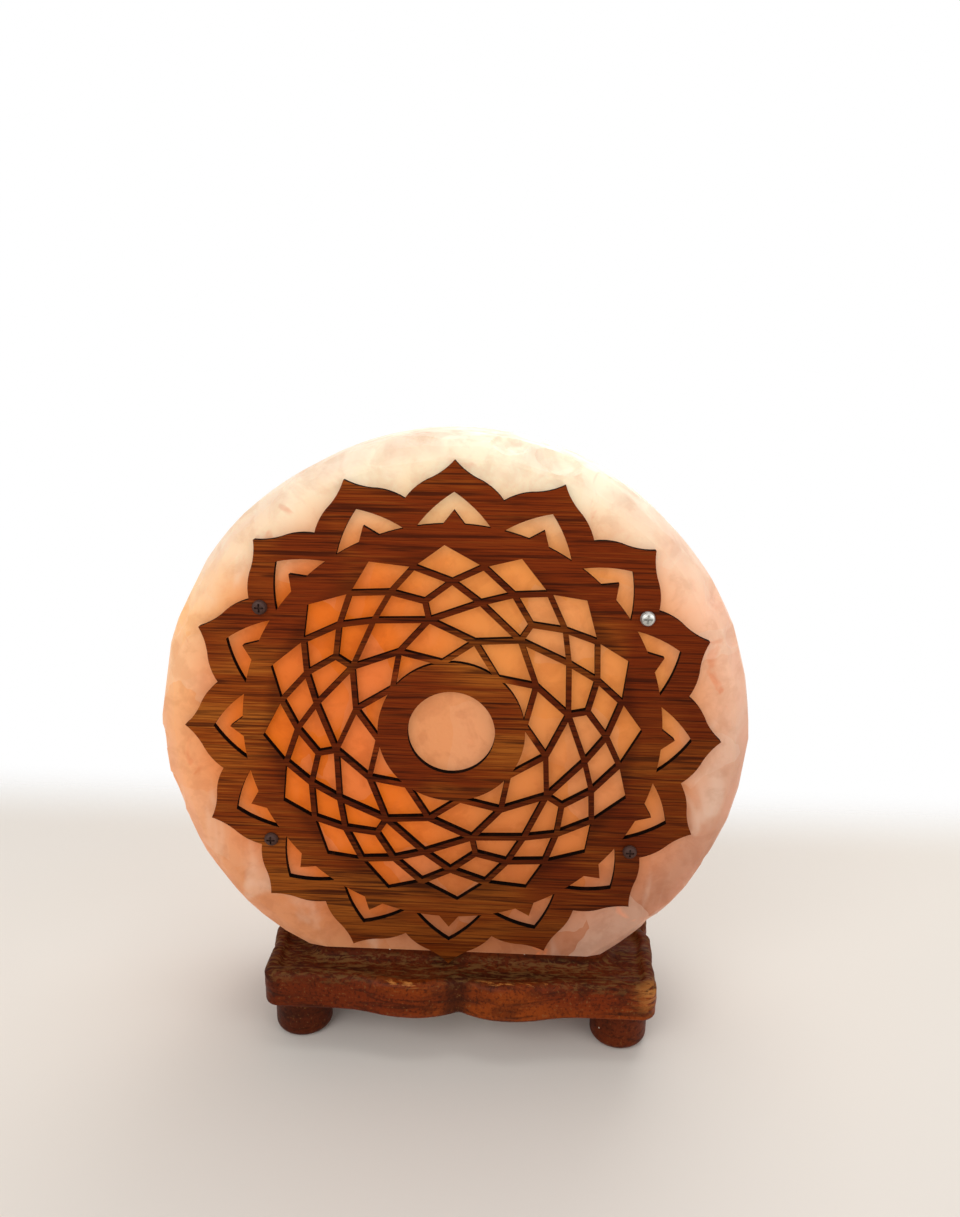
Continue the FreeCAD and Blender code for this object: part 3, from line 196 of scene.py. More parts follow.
class Shader(NodeGraph):
    """A procedural material on one Principled BSDF, read over Object coordinates."""

    def __init__(self, name: str) -> None:
        """Start the material."""
        self.material = bpy.data.materials.new(name)
        self.material.use_nodes = True
        super().__init__(self.material.node_tree)
        self.surface = self.tree.nodes["Principled BSDF"]
        coordinates = self.node("ShaderNodeTexCoord")
        self.place = coordinates.outputs["Object"]
        self.normal = coordinates.outputs["Normal"]

    def split(self, vector: bpy.types.NodeSocket) -> tuple[Value, Value, Value]:
        """Take a vector apart into its three numbers."""
        made = self.node("ShaderNodeSeparateXYZ", None, {"Vector": vector})
        return tuple(Value(self, output) for output in made.outputs)

    def moved(self, scale: Point = (1, 1, 1), offset: Point = (0, 0, 0), turn: Point = (0, 0, 0),
              vector: bpy.types.NodeSocket | None = None) -> bpy.types.NodeSocket:
        """Stretch, turn and shift the coordinates that a pattern reads.

        Args:
            scale: How much finer the pattern gets along each axis.
            offset: How far it moves, after the scale.
            turn: Its turn in degrees about each axis.
            vector: The coordinates, or None for the object's own.

        Returns:
            The coordinates' socket.
        """
        sockets = {"Vector": vector or self.place, "Scale": scale, "Location": offset,
                   "Rotation": tuple(math.radians(angle) for angle in turn)}
        return self.node("ShaderNodeMapping", None, sockets).outputs["Vector"]

    def noise(self, scale: float, detail: float = 3.0, rough: float = 0.55, distort: float = 0.0,
              vector: bpy.types.NodeSocket | None = None) -> Value:
        """Add cloudy noise of a scale per metre."""
        sockets = {"Vector": vector or self.place, "Scale": scale, "Detail": detail,
                   "Roughness": rough, "Distortion": distort}
        return Value(self, self.node("ShaderNodeTexNoise", None, sockets).outputs["Fac"])

    def cells(self, scale: float, feature: str = "F1", jitter: float = 1.0,
              vector: bpy.types.NodeSocket | None = None) -> bpy.types.Node:
        """Add a cell pattern of a scale per metre."""
        sockets = {"Vector": vector or self.place, "Scale": scale, "Randomness": jitter}
        return self.node("ShaderNodeTexVoronoi", {"feature": feature}, sockets)

    def distance(self, centre: Point, squash: Point = (1, 1, 1)) -> Value:
        """Measure the distance from a point, in metres, with each axis weighted."""
        offset = tuple(-part * weight for part, weight in zip(centre, squash))
        vector = self.moved(scale=squash, offset=offset)
        made = self.node("ShaderNodeVectorMath", {"operation": "LENGTH"}, {0: vector})
        return Value(self, made.outputs["Value"])

    def ramp(self, factor: Value, stops: list[tuple[float, Colour]]) -> bpy.types.NodeSocket:
        """Colour a value from 0 to 1 by stops."""
        made = self.node("ShaderNodeValToRGB", {"stops": stops}, {"Fac": factor})
        return made.outputs["Color"]

    def blend(self, under: object, over: object, mask: "Value | float",
              mode: str = "MIX") -> bpy.types.NodeSocket:
        """Lay one colour over another where a mask is 1.

        Args:
            under: The colour or socket below.
            over: The colour or socket above.
            mask: How much of the upper one shows.
            mode: The Mix node's blend type.

        Returns:
            The mixed colour's socket.
        """
        settings = {"data_type": "RGBA", "blend_type": mode, "clamp_factor": True}
        made = self.node("ShaderNodeMix", settings, {0: mask, 6: under, 7: over})
        return made.outputs[2]

    def darken(self, under: object, tint: Colour, mask: "Value | float") -> bpy.types.NodeSocket:
        """Multiply a colour by a tint where a mask is 1.

        Args:
            under: The colour or socket below.
            tint: What is left of each of its parts.
            mask: How much of the tint shows.

        Returns:
            The darkened colour's socket.
        """
        return self.blend(under, self.blend(WHITE, tint, mask), 1.0, "MULTIPLY")

    def picked(self, cells: bpy.types.Node) -> Value:
        """Read a number that is even over each cell of a cell pattern and differs between cells."""
        sockets = {"Color": cells.outputs["Color"]}
        return Value(self, self.node("ShaderNodeSeparateColor", None, sockets).outputs[0])

    def bump(self, height: Value, depth: float, strength: float = 1.0) -> None:
        """Raise the surface by a height from 0 to 1 times a depth in metres."""
        sockets = {"Height": height, "Distance": depth, "Strength": strength}
        made = self.node("ShaderNodeBump", None, sockets)
        self.feed(self.surface.inputs["Normal"], made.outputs["Normal"])

    def finish(self, **sockets: object) -> bpy.types.Material:
        """Set the surface's inputs; an underscore in a name stands for a space.

        Returns:
            The finished material.
        """
        for name, value in sockets.items():
            label = name.replace("_", " ").title().replace("Ior", "IOR")
            self.feed(self.surface.inputs[label], value)
        return self.material


# ------------------------------------------------------------------------------------------------
# Finishes
# ------------------------------------------------------------------------------------------------
@dataclass(frozen=True)
class RockSalt:
    """Translucent rock salt with painted light: the bulb's orange glow painted into its colour and
    emission, paler towards its rim.
    """

    height: float = 0.216
    # Centre of the painted hot spot of bulb glow.
    hot_spot: Point = (-0.052, SALT_FRONT, 0.146)
    # Outer face colours with painted light: paler and brighter high up and on the left, duskier low
    # on the right; the crown is painted light from above.
    left_low: Colour = srgb(210, 140, 96)
    left_middle: Colour = srgb(240, 168, 118)
    left_high: Colour = srgb(254, 196, 138)
    right_low: Colour = srgb(166, 106, 76)
    right_middle: Colour = srgb(212, 164, 138)
    right_high: Colour = srgb(252, 206, 176)
    crown: Colour = srgb(255, 246, 218)
    # White of milky salt, also used for painted glints on crystal faces.
    milky_white_and_glint: Colour = srgb(255, 246, 226)
    rose: Colour = srgb(226, 160, 132)
    # Colours of the painted bulb glow inside the mandala: the hot spot, the amber ramp from foot to
    # top and the middle window.
    glow: Colour = srgb(234, 112, 26)
    foot_amber: Colour = srgb(158, 84, 42)
    low_amber: Colour = srgb(212, 118, 58)
    amber: Colour = srgb(228, 136, 66)
    high_amber: Colour = srgb(244, 150, 74)
    peach: Colour = srgb(255, 200, 142)
    window: Colour = srgb(226, 148, 96)
    stain: Colour = srgb(226, 120, 66)
    grime: Colour = (0.90, 0.85, 0.82)
    # How the colour splits between base colour and emission; the emission is painted glow that
    # stands for the bulb shining through the salt.
    body_share: float = 0.72
    lit: float = 0.38

    def make(self) -> bpy.types.Material:
        """Paint the salt."""
        shader = Shader("rock_salt")
        across, depth, up = shader.split(shader.place)
        cloud = shader.noise(14, 2, 0.45, 0.7)
        wisp = shader.noise(1.0, 3, 0.5, 0.8, shader.moved((46, 40, 22), turn=(0, 18, 0)))
        fine = shader.noise(95, 4, 0.6, 0.4)
        # Painted light on the outer face: the colour brightens with height to the pale crown and is
        # duskier on the right.
        rise = (up - SALT_FLAT) * (1 / self.height)
        height = rise + (cloud - 0.5) * 0.40 + (wisp - 0.5) * 0.16
        left = shader.ramp(height, [(0.05, self.left_low), (0.38, self.left_middle),
                                    (0.72, self.left_high), (0.93, self.crown)])
        right = shader.ramp(height, [(0.05, self.right_low), (0.42, self.right_middle),
                                     (0.74, self.right_high), (0.93, self.crown)])
        outer = shader.blend(left, right, (across + (cloud - 0.5) * 0.08).above(-0.05, 0.07))

        # Painted light: inside the mandala the salt takes the bulb's orange glow, amber low to
        # peach high, with a painted hot spot left of centre and painted glow in the middle window.
        inner_height = rise + (cloud - 0.5) * 0.22
        inner = shader.ramp(inner_height, [(0.02, self.foot_amber), (0.22, self.low_amber),
                                           (0.5, self.amber), (0.78, self.high_amber),
                                           (0.92, self.peach)])
        hot = shader.distance(self.hot_spot, (1.0, 0.3, 0.66)) + (cloud - 0.5) * 0.04
        inner = shader.blend(inner, self.glow, hot.above(0.074, 0.026))
        middle = shader.distance((0.0, SALT_FRONT, MANDALA_HEIGHT))
        inner = shader.blend(inner, self.window, middle.above(0.034, 0.018))
        front = depth.above(-0.020, -0.028)
        lit_part = middle.above(0.118, 0.082) * front
        colour = shader.blend(outer, inner, lit_part)

        spread = shader.noise(52, 3, 0.6, 1.0)
        stained = spread.above(0.62, 0.72) * cloud.above(0.42, 0.55) * (1 - lit_part * 0.7)
        colour = shader.blend(colour, self.stain, stained * 0.55)
        milky = shader.noise(1.0, 3, 0.55, 0.9, shader.moved((36, 30, 20), (0.4, 0.2, 0.9)))
        veil = milky.above(0.52, 0.72) * (1 - lit_part * 0.95)
        colour = shader.blend(colour, self.milky_white_and_glint, veil * 0.28)
        # Painted glints: random crystal cells lightened towards white, as if catching the light.
        facet = shader.picked(shader.cells(44, vector=self._bend(shader))).above(0.55, 1.0)
        colour = shader.blend(colour, self.milky_white_and_glint, facet * (1 - lit_part * 0.7) * 0.15)
        colour = shader.darken(colour, self.grime, fine.above(0.44, 0.64))
        from_axis = shader.distance((0.0, 0.0, DISC_CENTRE_HEIGHT), (1.0, 0.0, 1.0))
        rim = from_axis.above(0.1085, 0.1165)
        colour = shader.blend(colour, self.rose, rim * wisp.above(0.35, 0.6) * 0.35)
        # Part of the colour goes to the base colour and part to emission: the whole salt glows with
        # painted light of the bulb shining through it.
        body = shader.blend(BLACK, colour, self.body_share)

        grain = shader.cells(420)
        pits = Value(shader, grain.outputs["Distance"]).above(0.0, 0.5)
        shader.bump(fine * 0.4 + pits * 0.12 + wisp * (rim * 0.9 + 0.15), 0.0009, 0.55)
        return shader.finish(
            base_color=body, emission_color=colour, emission_strength=self.lit,
            roughness=fine.above(0.3, 0.75) * 0.22 + 0.38,
            subsurface_weight=0.18, subsurface_radius=(0.030, 0.012, 0.006), subsurface_scale=0.6,
            specular_ior_level=0.14)

    def _bend(self, shader: Shader) -> bpy.types.NodeSocket:
        """Bend the coordinates a little, so that crystals have no ruled edges."""
        sockets = {"Vector": shader.place, "Scale": 60.0, "Detail": 2.0}
        drift = shader.node("ShaderNodeTexNoise", None, sockets)
        offset = shader.node("ShaderNodeVectorMath", {"operation": "SCALE"},
                             {0: drift.outputs["Color"], "Scale": 0.012})
        made = shader.node("ShaderNodeVectorMath", {"operation": "ADD"},
                           {0: shader.place, 1: offset.outputs["Vector"]})
        return made.outputs["Vector"]


@dataclass(frozen=True)
class PanelWood:
    """Thin red-brown wood with fine level grain, charred black where it was cut."""

    dark: Colour = srgb(52, 17, 5)
    red: Colour = srgb(124, 46, 10)
    brown: Colour = srgb(144, 64, 14)
    golden: Colour = srgb(184, 106, 36)
    shade: Colour = (0.52, 0.46, 0.44)
    smoke_and_shade: Colour = (0.62, 0.60, 0.60)
    char: Colour = srgb(12, 6, 4)
    singe: Colour = srgb(40, 18, 9)

    def make(self) -> bpy.types.Material:
        """Paint the panel."""
        shader = Shader("panel_wood")
        across, _, up = shader.split(shader.place)
        band = shader.noise(1.0, 3, 0.5, 0.6, shader.moved((9, 20, 90)))
        streak = shader.noise(1.0, 4, 0.6, 0.5, shader.moved((15, 60, 560)))
        line = shader.noise(1.0, 3, 0.55, 0.2, shader.moved((22, 90, 1500), (0.2, 0.0, 0.6)))
        pores = shader.noise(1.0, 2, 0.5, 0.0, shader.moved((80, 200, 3400)))
        patch = shader.noise(1.0, 2, 0.5, 0.4, shader.moved((14, 20, 15), (0.3, 0.0, 0.7)))
        low = up.above(0.110, 0.060) * 0.22
        level = up.above(0.085, 0.110) * up.above(0.185, 0.150)
        sides = abs(across).above(0.045, 0.080) * level * 0.13
        middle = shader.distance((0.0, PANEL_FRONT, MANDALA_HEIGHT))
        # Painted light: the ring and high terms make the wood lighter round the centre and along
        # the top.
        ring = middle.above(0.034, 0.029) * 0.12
        high = up.above(0.215, 0.235) * 0.08
        warm = (patch + low + sides + ring + high).above(0.50, 0.72)
        base = shader.blend(self.red, self.brown, warm)
        base = shader.blend(base, self.golden, warm * band.above(0.42, 0.62) * 0.55)
        base = shader.blend(base, self.golden, line.above(0.48, 0.36) * (warm * 0.5 + 0.12))
        base = shader.blend(base, self.dark, streak.above(0.50, 0.64) * 0.74)
        base = shader.blend(base, self.dark, line.above(0.53, 0.66) * 0.55)
        base = shader.blend(base, self.dark, pores.above(0.54, 0.66) * 0.40)

        # Painted shade: the wood is darkened towards the lower right.
        shaded_side = (across * 0.6 - up).above(-0.2226, -0.0026)
        base = shader.darken(base, self.shade, shaded_side)
        # The lattice strips round the centre are darkened: partly smoke of the laser cut, partly
        # painted shade.
        lattice = middle.above(0.0325, 0.0340) * middle.above(0.0760, 0.0700)
        base = shader.darken(base, self.smoke_and_shade, lattice)

        wall = abs(shader.split(shader.normal)[1]).above(0.75, 0.4)
        burnt = shader.blend(self.char, self.singe, shader.noise(300, 2).above(0.5, 0.75))
        colour = shader.blend(base, burnt, wall)
        shader.bump(streak * 0.5 + line * 0.5 + pores, 0.00020, 0.5)
        return shader.finish(base_color=colour, roughness=0.42 + wall * 0.4 + pores * 0.15,
                             specular_ior_level=0.05)


@dataclass(frozen=True)
class VarnishedWood:
    """Carved hardwood under dark varnish: gold wear and a painted highlight on its edges, dust and
    painted shade in its hollows.
    """

    name: str
    dark: Colour = srgb(42, 16, 6)
    body: Colour = srgb(114, 42, 10)
    light: Colour = srgb(138, 60, 14)
    # Gold of worn varnish, also used for a painted highlight along the lip.
    worn: Colour = srgb(208, 134, 66)
    dust: Colour = srgb(128, 92, 50)
    speck: Colour = srgb(230, 214, 190)
    # Shares of painted shade in the hollow top and in the notch.
    hollow_shade: float = 0.45
    notch_shade: float = 0.75

    def make(self) -> bpy.types.Material:
        """Paint the wood.

        Two shares say how much painted shade darkens the carved top behind its lip, and how much
        painted shade darkens the notch in the front.
        """
        shader = Shader(self.name)
        across, depth, up = shader.split(shader.place)
        grain = shader.noise(1.0, 4, 0.6, 0.5, shader.moved((30, 200, 300)))
        broad = shader.noise(1.0, 3, 0.5, 0.4, shader.moved((13, 22, 30), (0.2, 0.0, 0.4)))
        mottle = shader.noise(130, 4, 0.6)
        grit = shader.noise(720, 3, 0.65)
        colour = shader.blend(self.body, self.light, (broad + across * 0.9).above(0.42, 0.66))
        colour = shader.blend(colour, self.dark, grain.above(0.49, 0.66) * 0.65)
        leftward = (across + (broad - 0.5) * 0.06).above(-0.01, -0.09)
        colour = shader.blend(colour, self.dark, leftward * 0.35)
        # Painted shade: a dark band down the notch in the front, as in a shaded groove.
        from_notch = abs(across - 0.0045 + (broad - 0.5) * 0.008)
        notch = from_notch.above(0.0085, 0.0015) * depth.above(-0.041, -0.044)
        colour = shader.blend(colour, self.dark, notch * self.notch_shade)
        colour = shader.blend(colour, self.dark, mottle.above(0.50, 0.68) * 0.45)
        colour = shader.blend(colour, self.dark, grit.above(0.50, 0.66) * 0.60)
        colour = shader.blend(colour, self.dust, grit.above(0.40, 0.30) * 0.45)

        # Painted shade: the carved top behind the lip is darkened, as in the shade of the lip and
        # the salt.
        inside = abs(depth).above(0.0475, 0.0430) * up.above(0.0322, 0.0338)
        colour = shader.blend(colour, self.dark, inside * self.hollow_shade)
        dusty = shader.noise(1.0, 4, 0.65, 0.5, shader.moved((190, 700, 300)))
        groove = inside * up.above(0.0392, 0.0368) * dusty.above(0.46, 0.60)
        colour = shader.blend(colour, self.dust, groove * 0.50)

        # The lip's edge and the right front corner turn gold: partly worn varnish, partly a painted
        # highlight along the lip.
        edge = up.above(0.0348, 0.0362) * abs(depth).above(0.0440, 0.0462)
        rub = shader.noise(1.0, 5, 0.7, 0.6, shader.moved((70, 150, 420), (0.9, 0.0, 0.1)))
        wear_and_highlight = edge * (rub + across * 0.7).above(0.53, 0.62)
        corner = shader.distance((0.0875, -0.046, 0.0335), (1.0, 1.0, 0.8)) + (rub - 0.5) * 0.030
        wear_and_highlight = wear_and_highlight + corner.above(0.013, 0.003) * rub.above(0.42, 0.58)
        colour = shader.blend(colour, self.worn, wear_and_highlight * 0.70)

        dots = shader.cells(120)
        spot = Value(shader, dots.outputs["Distance"]).above(0.050, 0.025)
        spot = spot * shader.picked(dots).above(0.84, 0.88)
        colour = shader.blend(colour, self.speck, spot)
        shader.bump(grain * 0.5 + mottle * 0.5 + broad * 0.5, 0.0008, 0.6)
        return shader.finish(base_color=colour,
                             roughness=0.36 + mottle * 0.14 + inside * 0.22,
                             coat_weight=0.03 - inside * 0.02, coat_roughness=0.2,
                             specular_ior_level=0.06)


@dataclass(frozen=True)
class PlatedSteel:
    """Plated steel with fine scratches. Screw heads away from the bright corner have browned."""

    name: str
    bright: Colour = srgb(205, 205, 200)
    dull: Colour = srgb(150, 148, 142)
    brown: Colour = srgb(60, 28, 15)
    browned: bool = False
    rough: float = 0.30

    def make(self) -> bpy.types.Material:
        """Paint the steel."""
        shader = Shader(self.name)
        across, _, up = shader.split(shader.place)
        worn = shader.noise(380, 4, 0.6)
        lines = shader.noise(1.0, 2, 0.5, 0.0, shader.moved((900, 900, 5200)))
        colour = shader.blend(self.bright, self.dull, worn.above(0.42, 0.68))
        metal: Value | float = 1.0
        rough: Value | float = worn * 0.2 + self.rough
        if self.browned:
            bright_corner = across.above(0.0, 0.01) * up.above(0.13, 0.14)
            colour = shader.blend(self.brown, colour, bright_corner)
            metal = bright_corner * 0.75 + 0.15
            rough = rough + (1 - bright_corner) * 0.2
        shader.bump(lines, 0.00005, 0.4)
        return shader.finish(base_color=colour, metallic=metal, roughness=rough)


@dataclass(frozen=True)
class MouldedPlastic:
    """Moulded plastic with a faint satin texture."""

    name: str
    colour: Colour
    shade: Colour
    rough: float = 0.42

    def make(self) -> bpy.types.Material:
        """Paint the plastic."""
        shader = Shader(self.name)
        cloud = shader.noise(60, 3)
        skin = shader.noise(2400, 2)
        colour = shader.blend(self.colour, self.shade, cloud.above(0.4, 0.7))
        shader.bump(skin, 0.00004, 0.6)
        return shader.finish(base_color=colour, roughness=skin * 0.14 + self.rough)


@dataclass(frozen=True)
class FiredCeramic:
    """Unglazed pressed ceramic."""

    colour: Colour = srgb(226, 220, 206)
    stain: Colour = srgb(196, 184, 162)

    def make(self) -> bpy.types.Material:
        """Paint the ceramic."""
        shader = Shader("fired_ceramic")
        cloud = shader.noise(130, 4)
        grit = shader.noise(1500, 3)
        colour = shader.blend(self.colour, self.stain, cloud.above(0.45, 0.72))
        shader.bump(grit, 0.00010, 0.7)
        return shader.finish(base_color=colour, roughness=grit * 0.2 + 0.6)


@dataclass(frozen=True)
class SpunMetal:
    """Thin pressed metal with marks that run round the lampholder's axis."""

    name: str
    colour: Colour
    tarnish: Colour
    rough: float = 0.28

    def make(self) -> bpy.types.Material:
        """Paint the metal."""
        shader = Shader(self.name)
        cloud = shader.noise(140, 4)
        rings = shader.noise(1.0, 2, 0.5, 0.0, shader.moved((30, 30, 4000)))
        colour = shader.blend(self.colour, self.tarnish, cloud.above(0.42, 0.70) * 0.7)
        shader.bump(rings, 0.00005, 0.5)
        return shader.finish(base_color=colour, metallic=1.0, roughness=cloud * 0.2 + self.rough)


@dataclass(frozen=True)
class ClearGlass:
    """Thin clear glass, faintly dusty."""

    tint: Colour = srgb(248, 247, 242)
    dust: Colour = srgb(232, 226, 214)

    def make(self) -> bpy.types.Material:
        """Paint the glass."""
        shader = Shader("clear_glass")
        film = shader.noise(45, 4)
        colour = shader.blend(self.tint, self.dust, film.above(0.45, 0.75))
        return shader.finish(base_color=colour, roughness=film.above(0.4, 0.8) * 0.08 + 0.02,
                             transmission_weight=1.0, ior=1.45)


@dataclass(frozen=True)
class BlackGlass:
    """The black insulator in the bulb's cap."""

    colour: Colour = srgb(20, 16, 22)
    haze: Colour = srgb(52, 44, 52)

    def make(self) -> bpy.types.Material:
        """Paint the insulator."""
        shader = Shader("black_glass")
        cloud = shader.noise(500, 4)
        colour = shader.blend(self.colour, self.haze, cloud.above(0.5, 0.75))
        return shader.finish(base_color=colour, roughness=cloud * 0.2 + 0.1)


@dataclass(frozen=True)
class HotWire:
    """The filament, glowing warm."""

    core: Colour = srgb(255, 214, 140)
    edge: Colour = srgb(255, 170, 84)

    def make(self) -> bpy.types.Material:
        """Paint the filament."""
        shader = Shader("hot_wire")
        pulse = shader.noise(700, 2)
        colour = shader.blend(self.core, self.edge, pulse.above(0.4, 0.65))
        return shader.finish(base_color=colour, emission_color=colour, emission_strength=4.0,
                             roughness=0.5)


# ------------------------------------------------------------------------------------------------
# Mesh helpers
# ------------------------------------------------------------------------------------------------
def deselect() -> None:
    """Leave edit mode and select nothing."""
    if bpy.context.object and bpy.context.object.mode != "OBJECT":
        bpy.ops.object.mode_set(mode="OBJECT")
    bpy.ops.object.select_all(action="DESELECT")


def activate(piece: bpy.types.Object) -> None:
    """Make one object the only one that operators act on."""
    deselect()
    piece.select_set(True)
    bpy.context.view_layer.objects.active = piece


def settle(piece: bpy.types.Object) -> None:
    """Move an object's place into its mesh."""
    activate(piece)
    bpy.ops.object.transform_apply(location=True, rotation=True, scale=True)


def apply_modifier(piece: bpy.types.Object, kind: str, **settings: object) -> None:
    """Add one modifier and apply it at once.

    Args:
        piece: The object.
        kind: The modifier's type.
        settings: Its settings.
    """
    activate(piece)
    modifier = piece.modifiers.new(kind.lower(), kind)
    for name, setting in settings.items():
        setattr(modifier, name, setting)
    bpy.ops.object.modifier_apply(modifier=modifier.name)


def dress(piece: bpy.types.Object, material: bpy.types.Material) -> None:
    """Give an object one material."""
    piece.data.materials.clear()
    piece.data.materials.append(material)
    piece.data.polygons.foreach_set("material_index", [0] * len(piece.data.polygons))


def dress_nodes(material: bpy.types.Material, *nodes: str) -> None:
    """Give CAD nodes one material."""
    for node in nodes:
        dress(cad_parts[node], material)
        LOG.info("%s dressed in %s", node, material.name)


# ------------------------------------------------------------------------------------------------
# Sub-assemblies
# ------------------------------------------------------------------------------------------------
@dataclass
class SaltDisc:
    """The disc of rock salt, sawn flat on its faces and hewn round its rim."""

    centre: Point = (0.0, 0.0, DISC_CENTRE_HEIGHT)
    radius: float = 0.120
    thickness: float = 0.060
    bevel_width: float = 0.0075
    bevel_depth: float = 0.014
    bore_radius: float = 0.021
    bore_top: float = 0.1406
    bore_tip: float = 0.008
    seed: int = 7
    slopes: tuple[int, ...] = (16, 34, 52, 70)
    facets: int = 46
    deepest_bite: float = 0.0011
    scoops: int = 26
    scoop_sizes: tuple[float, float] = (0.006, 0.014)
    scoop_reach: float = 2.35
    edge_softness: float = 0.0007
    finish: RockSalt = field(default_factory=RockSalt)

    def build(self) -> bpy.types.Object:
        """Model the disc and put it in place of its plain solid.

        Returns:
            The salt.
        """
        draw = random.Random(self.seed)
        piece = self._blank()
        self._hew(piece, draw)
        self._chip(piece, draw)
        self._drill(piece)
        apply_modifier(piece, "BEVEL", width=self.edge_softness, segments=2, limit_method="ANGLE",
                       angle_limit=math.radians(12), use_clamp_overlap=True)
        activate(piece)
        bpy.ops.object.shade_smooth_by_angle(angle=math.radians(24))
        dress(piece, self.finish.make())
        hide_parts("salt_disc")
        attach(piece, Body.LAMP.value)
        LOG.info("salt disc: %d faces", len(piece.data.polygons))
        return piece

    def _blank(self) -> bpy.types.Object:
        """Saw a round blank and its flat."""
        deselect()
        bpy.ops.mesh.primitive_cylinder_add(vertices=160, radius=self.radius, depth=self.thickness,
                                            location=self.centre, rotation=(math.pi / 2, 0, 0))
        piece = bpy.context.object
        piece.name = "salt_crystal"
        settle(piece)
        self._cut(piece, Vector((0, 0, SALT_FLAT)), Vector((0, 0, -1)))
        return piece

    def _cut(self, piece: bpy.types.Object, point: Vector, outward: Vector) -> None:
        """Cut away what lies outside a plane and close the cut.

        Args:
            piece: The salt.
            point: A point on the plane.
            outward: The plane's outward normal.
        """
        activate(piece)
        bpy.ops.object.mode_set(mode="EDIT")
        bpy.ops.mesh.select_all(action="SELECT")
        bpy.ops.mesh.bisect(plane_co=point, plane_no=outward, clear_outer=True, use_fill=True)
        bpy.ops.object.mode_set(mode="OBJECT")

    def _hew(self, piece: bpy.types.Object, draw: random.Random) -> None:
        """Hew the rim in rings of flat strokes, from the faces' edges over to the middle."""
        half = self.thickness / 2
        for slope in self.slopes:
            angle = math.radians(slope)
            deep = half - self.bevel_depth * (1 - math.sin(angle))
            for side in Side:
                for stroke in range(self.facets):
                    turn = (stroke + draw.uniform(-0.35, 0.35)) * 2 * math.pi / self.facets
                    width = self.bevel_width * self._broadness(turn)
                    reach = self.radius - width * (1 - math.cos(angle)) ** 0.9
                    lean = angle + math.radians(draw.uniform(-7, 7))
                    radial = Vector((math.sin(turn), 0, math.cos(turn)))
                    outward = radial * math.cos(lean) + Vector((0, side.value, 0)) * math.sin(lean)
                    bite = draw.uniform(0.0, self.deepest_bite)
                    point = Vector(self.centre) + radial * (reach - bite)
                    point = point + Vector((0, side.value * (deep - bite * 0.3), 0))
                    self._cut(piece, point, outward)

    def _broadness(self, turn: float) -> float:
        """Say how broad the hewn edge is at a turn from the top, beside its usual width."""
        lower_right = math.exp(-(((turn - math.radians(147)) / 0.45) ** 2))
        lower_left = math.exp(-(((turn - math.radians(213)) / 0.35) ** 2))
        return 1 - 0.5 * lower_right + 0.3 * lower_left

    def _chip(self, piece: bpy.types.Object, draw: random.Random) -> None:
        """Knock small shells off the rim."""
        for _ in range(self.scoops):
            turn = draw.uniform(-self.scoop_reach, self.scoop_reach)
            side = draw.choice((-1, -1, 1))
            size = draw.uniform(*self.scoop_sizes)
            reach = self.radius - self.bevel_width * 0.45 + size * 0.72
            spot = (reach * math.sin(turn), side * (self.thickness / 2 - 0.006 + size * 0.35),
                    self.centre[2] + reach * math.cos(turn))
            deselect()
            bpy.ops.mesh.primitive_ico_sphere_add(subdivisions=2, radius=size, location=spot)
            chip = bpy.context.object
            chip.scale = (draw.uniform(0.9, 1.4), draw.uniform(0.7, 1.0),
                          draw.uniform(0.9, 1.4))
            chip.rotation_euler = (draw.uniform(0, 3), turn, draw.uniform(0, 3))
            settle(chip)
            self._subtract(piece, chip)

    def _drill(self, piece: bpy.types.Object) -> None:
        """Drill the bore for the lampholder."""
        deselect()
        depth = self.bore_top - SALT_FLAT + 0.01
        bpy.ops.mesh.primitive_cylinder_add(vertices=64, radius=self.bore_radius, depth=depth,
                                            location=(BORE_CENTRE, 0, self.bore_top - depth / 2))
        drill = bpy.context.object
        settle(drill)
        activate(drill)
        bpy.ops.object.mode_set(mode="EDIT")
        bpy.ops.mesh.select_mode(type="FACE")
        bpy.ops.mesh.select_all(action="DESELECT")
        bpy.ops.object.mode_set(mode="OBJECT")
        for face in drill.data.polygons:
            face.select = face.normal.z > 0.9
        bpy.ops.object.mode_set(mode="EDIT")
        bpy.ops.mesh.extrude_region_move(TRANSFORM_OT_translate={"value": (0, 0, self.bore_tip)})
        bpy.ops.mesh.merge(type="CENTER")
        bpy.ops.object.mode_set(mode="OBJECT")
        self._subtract(piece, drill)

    def _subtract(self, piece: bpy.types.Object, tool: bpy.types.Object) -> None:
        """Take one mesh out of another and discard the tool."""
        apply_modifier(piece, "BOOLEAN", operation="DIFFERENCE", solver="EXACT", object=tool)
        bpy.data.objects.remove(tool)


@dataclass
class MandalaPanel:
    """The laser-cut panel, its screws and their plugs."""

    wood: PanelWood = field(default_factory=PanelWood)

    def build(self) -> None:
        """Dress the panel and its screws."""
        dress_nodes(self.wood.make(), "mandala_panel")
        dress_nodes(PlatedSteel("panel_screw_steel", browned=True).make(), "panel_screws")
        nylon = MouldedPlastic("plug_nylon", srgb(214, 212, 204), srgb(198, 195, 184))
        dress_nodes(nylon.make(), "panel_screw_plugs", "disc_screw_plugs")


